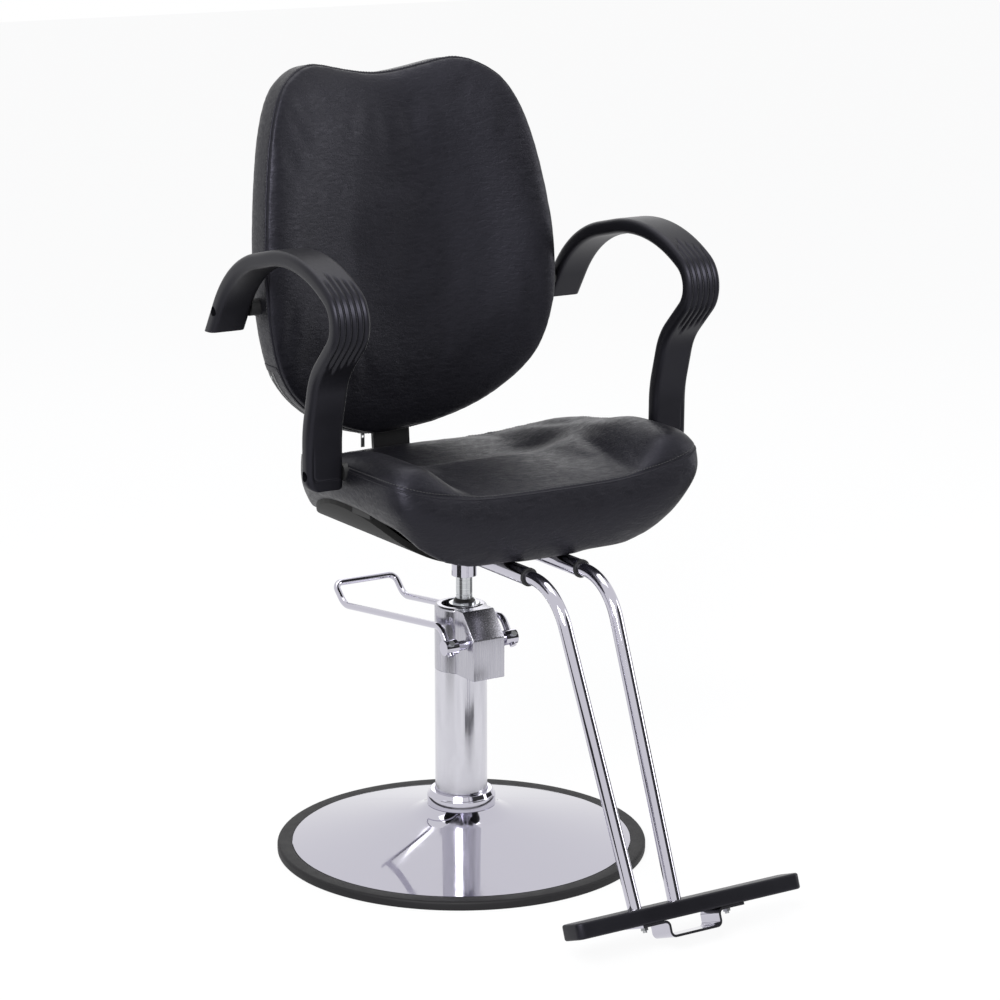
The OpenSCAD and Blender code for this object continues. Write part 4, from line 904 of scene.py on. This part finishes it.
def layStrip(name, cover, line, profile, material, closed=False):
    # a strip that follows the cover: profile is (across, height over the cover) in mm, closed round
    rings = []
    n = len(line)
    for i, p in enumerate(line):
        a = line[(i - 1) % n] if closed else line[max(0, i - 1)]
        b = line[(i + 1) % n] if closed else line[min(n - 1, i + 1)]
        spot, normal = cover.find_nearest(p)[:2]
        side = (b - a).normalized().cross(normal).normalized()
        ring = []
        for across, height in profile:
            under, up = cover.find_nearest(spot + side * across * mm)[:2]
            ring.append(under + (normal + up).normalized() * height * mm)
        rings.append(ring)
    if closed:
        rings.append(rings[0])
    bm = loft(rings)
    if closed:
        ends = [f for f in bm.faces if len(f.verts) == len(profile) and len(profile) > 4]
        bmesh.ops.delete(bm, geom=ends, context="FACES_ONLY")
        bmesh.ops.remove_doubles(bm, verts=bm.verts, dist=0.02 * mm)
    strip = finishMesh(name, bm, material, "seat", 50)
    return strip


stitch = {"length": 3.6, "pitch": 4.8, "r": 0.5, "sides": 6}
# the turned hem's profile
fold = ((1.5, -0.8), (1.35, 0.25), (0.8, 0.7), (0.0, 0.85), (-0.9, 0.6), (-1.6, 0.1), (-1.8, -0.8))


def sewLine(name, cover, line):
    # one short capsule for each stitch, half sunk in the cover
    places = [cover.find_nearest(p)[:2] for p in line]
    bm = bmesh.new()
    travelled, nextAt = 0.0, 0.0
    for (a, na), (b, _) in zip(places, places[1:] + places[:1]):
        length = (b - a).length
        while nextAt < travelled + length:
            t = (nextAt - travelled) / max(length, 1e-9)
            where = a.lerp(b, t) + na * 0.2 * mm
            made = bmesh.ops.create_uvsphere(bm, u_segments=stitch["sides"], v_segments=5,
                                             radius=stitch["r"] * mm)
            bmesh.ops.transform(bm, verts=made["verts"],
                                matrix=Matrix.Translation(where) @ turnTo(b - a)
                                @ Matrix.Scale(stitch["length"] / 2 / stitch["r"], 4, (0, 0, 1)))
            nextAt += stitch["pitch"] * mm
        travelled += length
    row = finishMesh(name, bm, thread, "seat", 180)


def makeSeat():
    seam = seatSeam()
    hem = seatRing(0.945, 0.94, 0.965, "hem", 0)
    # shares of the outline sideways, ahead and behind, the kind of level, and its share of the height
    levels = [(0.5, 0.4, 0.5, "under", 0), (0.9, 0.86, 0.92, "under", 0), (0.93, 0.9, 0.955, "hem", 0),
              (0.965, 0.98, 0.99, "wall", 0.12), (1.004, 1.02, 1.02, "wall", 0.4),
              (1.008, 1.04, 1.02, "wall", 0.7), (1.0, 1.0, 1.0, "wall", 1)]
    levels += [(g, g, g, "top", lift) for g, lift in ((0.975, 0.5), (0.93, 0.9), (0.86, 1), (0.74, 1), (0.6, 1),
                                                    (0.42, 1), (0.2, 1))]
    pad = finishMesh("seatPad", loft([seatRing(*level) for level in levels]), vinyl, None, 180)
    upholster(pad, seat, seam, hem)
    finishPad(pad, "seat_cushion")
    pressSeam(pad, seam)
    cover = surfaceTree(pad)
    layStrip("seatHemFold", cover, seatSeam(1.004, 2.2), fold, vinyl, closed=True)
    sewLine("seatStitches", cover, seatSeam(0.985, -1.5))
    print("seat done")


zipper = {"depth": 32.0, "top": 708.0, "half": 7.5, "coil": 1.5, "flap": 12.0, "flapThick": 0.9,
          "stop": (2.4, 3.4, 4.6), "probe": 60.0, "drawUp": 50.0, "drawRound": 110.0}


def makeBack():
    seam = backRing(1.0, 0)
    crown, boxing = back["crown"], back["boxing"]
    # share of the outline, and depth behind the seam
    shape = [(0.35, -0.98 * crown), (0.6, -crown), (0.8, -crown), (0.89, -0.88 * crown), (0.95, -0.62 * crown),
             (0.985, -0.28 * crown), (1.0, 0), (1.004, 0.3 * boxing), (1.004, 0.7 * boxing),
             (0.99, 0.9 * boxing), (0.95, boxing), (0.8, boxing), (0.4, boxing)]
    pad = finishMesh("backPad", loft([backRing(g, d, 6) for g, d in shape]), vinyl, None, 180)
    upholster(pad, back, seam, backRing(0.985, boxing))
    finishPad(pad, "back_cushion", "back_cover")
    pressSeam(pad, seam)
    seatSlider(pad)
    cover = surfaceTree(pad)
    layStrip("backHemFold", cover, backRing(1.002, 2.2), fold, vinyl, closed=True)
    sewLine("backStitches", cover, backRing(1.01, 5.5))
    makeZip(cover)
    print("back done")


def seatSlider(pad):
    # the cover's lower edge is drawn to the zip's slider, which hangs from it
    low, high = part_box("zip_slider")
    middle = Vector(((low[0] + high[0]) / 2, (low[1] + high[1]) / 2, high[2]))
    spot = surfaceTree(pad).ray_cast(middle - Vector((0, 0, zipper["probe"] * mm)), Vector((0, 0, 1)))[0]
    shift = middle.z - 1.0 * mm - spot.z
    rise, reach = zipper["drawUp"] * mm, zipper["drawRound"] * mm
    for vert in pad.data.vertices:
        away = math.hypot(vert.co.x - middle.x, vert.co.y - middle.y)
        if vert.co.z < middle.z + rise:
            vert.co.z += shift * ease(1 - away / reach) * ease(1 - abs(vert.co.z - spot.z) / rise)
    pad.data.update()


def makeZip(cover):
    ring = backRing(1.004, zipper["depth"])
    half = len(ring) // 2
    line = [p for p in ring[half:] + ring[:half] if p.z < zipper["top"] * mm]
    w, c = zipper["half"], zipper["coil"]
    tapes = [(-w, -0.8), (w, -0.8), (w, 0.5), (c + 0.6, 0.7), (c, 0.1), (-c, 0.1), (-c - 0.6, 0.7), (-w, 0.5)]
    band = layStrip("zipTape", cover, line, tapes, tape)
    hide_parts("zip_tape")
    coil = [(c * 0.8, -0.4), (c * 0.8, 0.7), (0, 1.2), (-c * 0.8, 0.7), (-c * 0.8, -0.4)]
    layStrip("zipCoil", cover, line, coil, sealRubber)
    for side, end, ahead in (("right", line[0], line[1]), ("left", line[-1], line[-2])):
        rise = (end - ahead).normalized() * 3 * mm
        across = [end + rise + Vector((0, d * mm, 0)) for d in range(-26, 17, 3)]
        f, t = zipper["flap"] / 2, zipper["flapThick"]
        flap = [(-f, -0.6), (f, -0.6), (f, t * 0.6), (f - 1, t), (-f + 1, t), (-f, t * 0.6)]
        layStrip(f"zipFlap_{side}", cover, across, flap, vinyl)
        spot, normal = cover.find_nearest(end - rise * 4)[:2]
        bm = bmesh.new()
        bmesh.ops.create_cube(bm, size=1)
        bmesh.ops.scale(bm, vec=Vector(zipper["stop"]) * mm, verts=bm.verts)
        bmesh.ops.bevel(bm, geom=bm.edges[:], offset=0.5 * mm, segments=2, profile=0.5, affect="EDGES",
                        material=-1)
        place = Matrix.Translation(spot + normal * 0.9 * mm) @ turnTo(end - ahead)
        bmesh.ops.transform(bm, matrix=place, verts=bm.verts)
        stop = finishMesh(f"zipStop_{side}", bm, zinc, "seat", 40)


makeSeat()
makeBack()


# the CAD nodes that stay in sight

finishes = {
    "base_underplate": paint, "base_screws": zinc, "pump_flange": paint, "pump_cylinder": steel,
    "cylinder_plug": paint, "rod_gland": steel, "rod_wiper": sealRubber, "piston_head": steel,
    "piston_ring": sealRubber, "thrust_washer": zinc, "piston_rod": steel, "seat_socket": chrome,
    "seat_mount_plate": enamel, "seat_plate_bolts": zinc, "seat_board": ply, "seat_inserts": sealRubber,
    "back_bracket": enamel, "back_bracket_bolts": zinc, "back_board": ply, "back_inserts": sealRubber,
    "zip_slider": zinc, "zip_pull": zinc, "arm_screws": enamel, "footrest_bracket": enamel,
    "footrest_bracket_bolts": zinc, "footrest_sleeve_left": chrome, "footrest_sleeve_right": chrome,
    "sleeve_rings": sealRubber, "footplate_core": paint, "footplate_strap": chrome, "footplate_bolts": zinc,
    "lever_shaft": chrome, "lever_screws": zinc, "lever_cam": steel, "pump_plunger": steel,
}
for nodeName, material in finishes.items():
    nodes[nodeName].data.materials.clear()
    nodes[nodeName].data.materials.append(material)
print("nodes finished")


# floor, light and camera

studio = {"floor": "#f6f6f7", "world": 0.68,
          "lamps": (  # name, place, target, width, height and power
              ("keyLamp", (-2.6, -2.6, 3.0), (0, 0, 0.6), 2.2, 1.6, 190),
              ("fillLamp", (3.4, -1.8, 1.6), (0, 0, 0.5), 1.6, 2.2, 46),
              ("topLamp", (0.2, 0.6, 3.6), (0, 0, 0.5), 2.4, 2.4, 34),
              ("rimLamp", (1.8, 3.2, 2.2), (0, 0, 0.8), 1.2, 2.0, 8)),
          "flags": (  # centre, width, lower and upper edge, in metres
              ((-1.0, -0.18), 0.8, 0.0, 0.34), ((1.0, -0.2), 0.7, 0.0, 0.34), ((1.35, -2.1), 2.2, 0.05, 2.4))}


def makeStudio():
    bm = bmesh.new()
    bmesh.ops.create_grid(bm, x_segments=1, y_segments=1, size=14)
    bmesh.ops.translate(bm, verts=bm.verts, vec=(0, 0, -0.4 * mm))
    finishMesh("studioFloor", bm, floorMaterial(), None)
    for i, settings in enumerate(studio["flags"]):
        makeFlag(f"flag_{i}", *settings)
    for settings in studio["lamps"]:
        addLamp(*settings)
    world = bpy.data.worlds.new("studioWorld")
    world.use_nodes = True
    tree = world.node_tree
    tree.nodes.clear()
    plain = addNode(tree, "ShaderNodeBackground", {"Color": colour("#ffffff"), "Strength": 1.0})
    light = addNode(tree, "ShaderNodeBackground", {"Color": colour("#eef0f4"), "Strength": studio["world"]})
    mix = addNode(tree, "ShaderNodeMixShader",
                  links={0: backgroundRays(tree), 1: light.outputs[0], 2: plain.outputs[0]})
    addNode(tree, "ShaderNodeOutputWorld", links={"Surface": mix.outputs[0]})
    bpy.context.scene.world = world


def backgroundRays(tree):
    # 1 for what the camera sees straight on, in metal or through glass
    path = addNode(tree, "ShaderNodeLightPath")
    mirrored = addNode(tree, "ShaderNodeMath", {"operation": "MAXIMUM"},
                       {0: path.outputs["Is Glossy Ray"], 1: path.outputs["Is Transmission Ray"]})
    return addNode(tree, "ShaderNodeMath", {"operation": "MAXIMUM"},
                   {0: path.outputs["Is Camera Ray"], 1: mirrored.outputs[0]}).outputs[0]


def makeFlag(name, centre, width, low, high):
    # a black flag beside the set, facing the chair and seen only in its gloss, for dark bands in the chrome
    bm = bmesh.new()
    bmesh.ops.create_grid(bm, x_segments=1, y_segments=1, size=0.5)
    bmesh.ops.scale(bm, vec=(width, high - low, 1), verts=bm.verts)
    turn = Vector((*centre, 0)).to_track_quat("Z", "Y").to_matrix().to_4x4()
    place = Matrix.Translation((*centre, (low + high) / 2))
    bmesh.ops.transform(bm, matrix=place @ turn, verts=bm.verts)
    flag = finishMesh(name, bm, enamel, None)
    flag.visible_camera = False
    flag.visible_diffuse = False
    flag.visible_shadow = False
    flag.visible_transmission = False


def floorMaterial():
    # matt white paper sweep
    material, tree, shader = newMaterial("paperFloor", studio["floor"], 0, 0.9)
    output = next(n for n in tree.nodes if n.type == "OUTPUT_MATERIAL")
    glow = addNode(tree, "ShaderNodeEmission", {"Color": colour("#ffffff"), "Strength": 1.0})
    share = addNode(tree, "ShaderNodeMath", {"operation": "MULTIPLY", 1: 0.9}, {0: backgroundRays(tree)})
    mix = addNode(tree, "ShaderNodeMixShader",
                  links={0: share.outputs[0], 1: shader.outputs[0], 2: glow.outputs[0]})
    tree.links.new(mix.outputs[0], output.inputs["Surface"])
    return material


def addLamp(name, place, target, width, height, power):
    light = bpy.data.lights.new(name, "AREA")
    light.shape = "RECTANGLE"
    light.size, light.size_y, light.energy = width, height, power
    lamp = bpy.data.objects.new(name, light)
    lamp.location = place
    lamp.rotation_euler = (Vector(target) - Vector(place)).to_track_quat("-Z", "Y").to_euler()
    bpy.context.scene.collection.objects.link(lamp)


camera = {"place": (-2.2445, -3.675, 1.5519), "target": (0.0488, -0.0288, 0.521), "lens": 111.33}


def makeCamera():
    data = bpy.data.cameras.new("photoCamera")
    data.lens = camera["lens"]
    data.sensor_width = 36
    eye = bpy.data.objects.new("photoCamera", data)
    eye.location = camera["place"]
    toTarget = Vector(camera["target"]) - Vector(camera["place"])
    eye.rotation_euler = toTarget.to_track_quat("-Z", "Y").to_euler()
    bpy.context.scene.collection.objects.link(eye)
    bpy.context.scene.camera = eye


makeStudio()
makeCamera()
bpy.context.scene.view_settings.view_transform = "Standard"

print("scene ready")
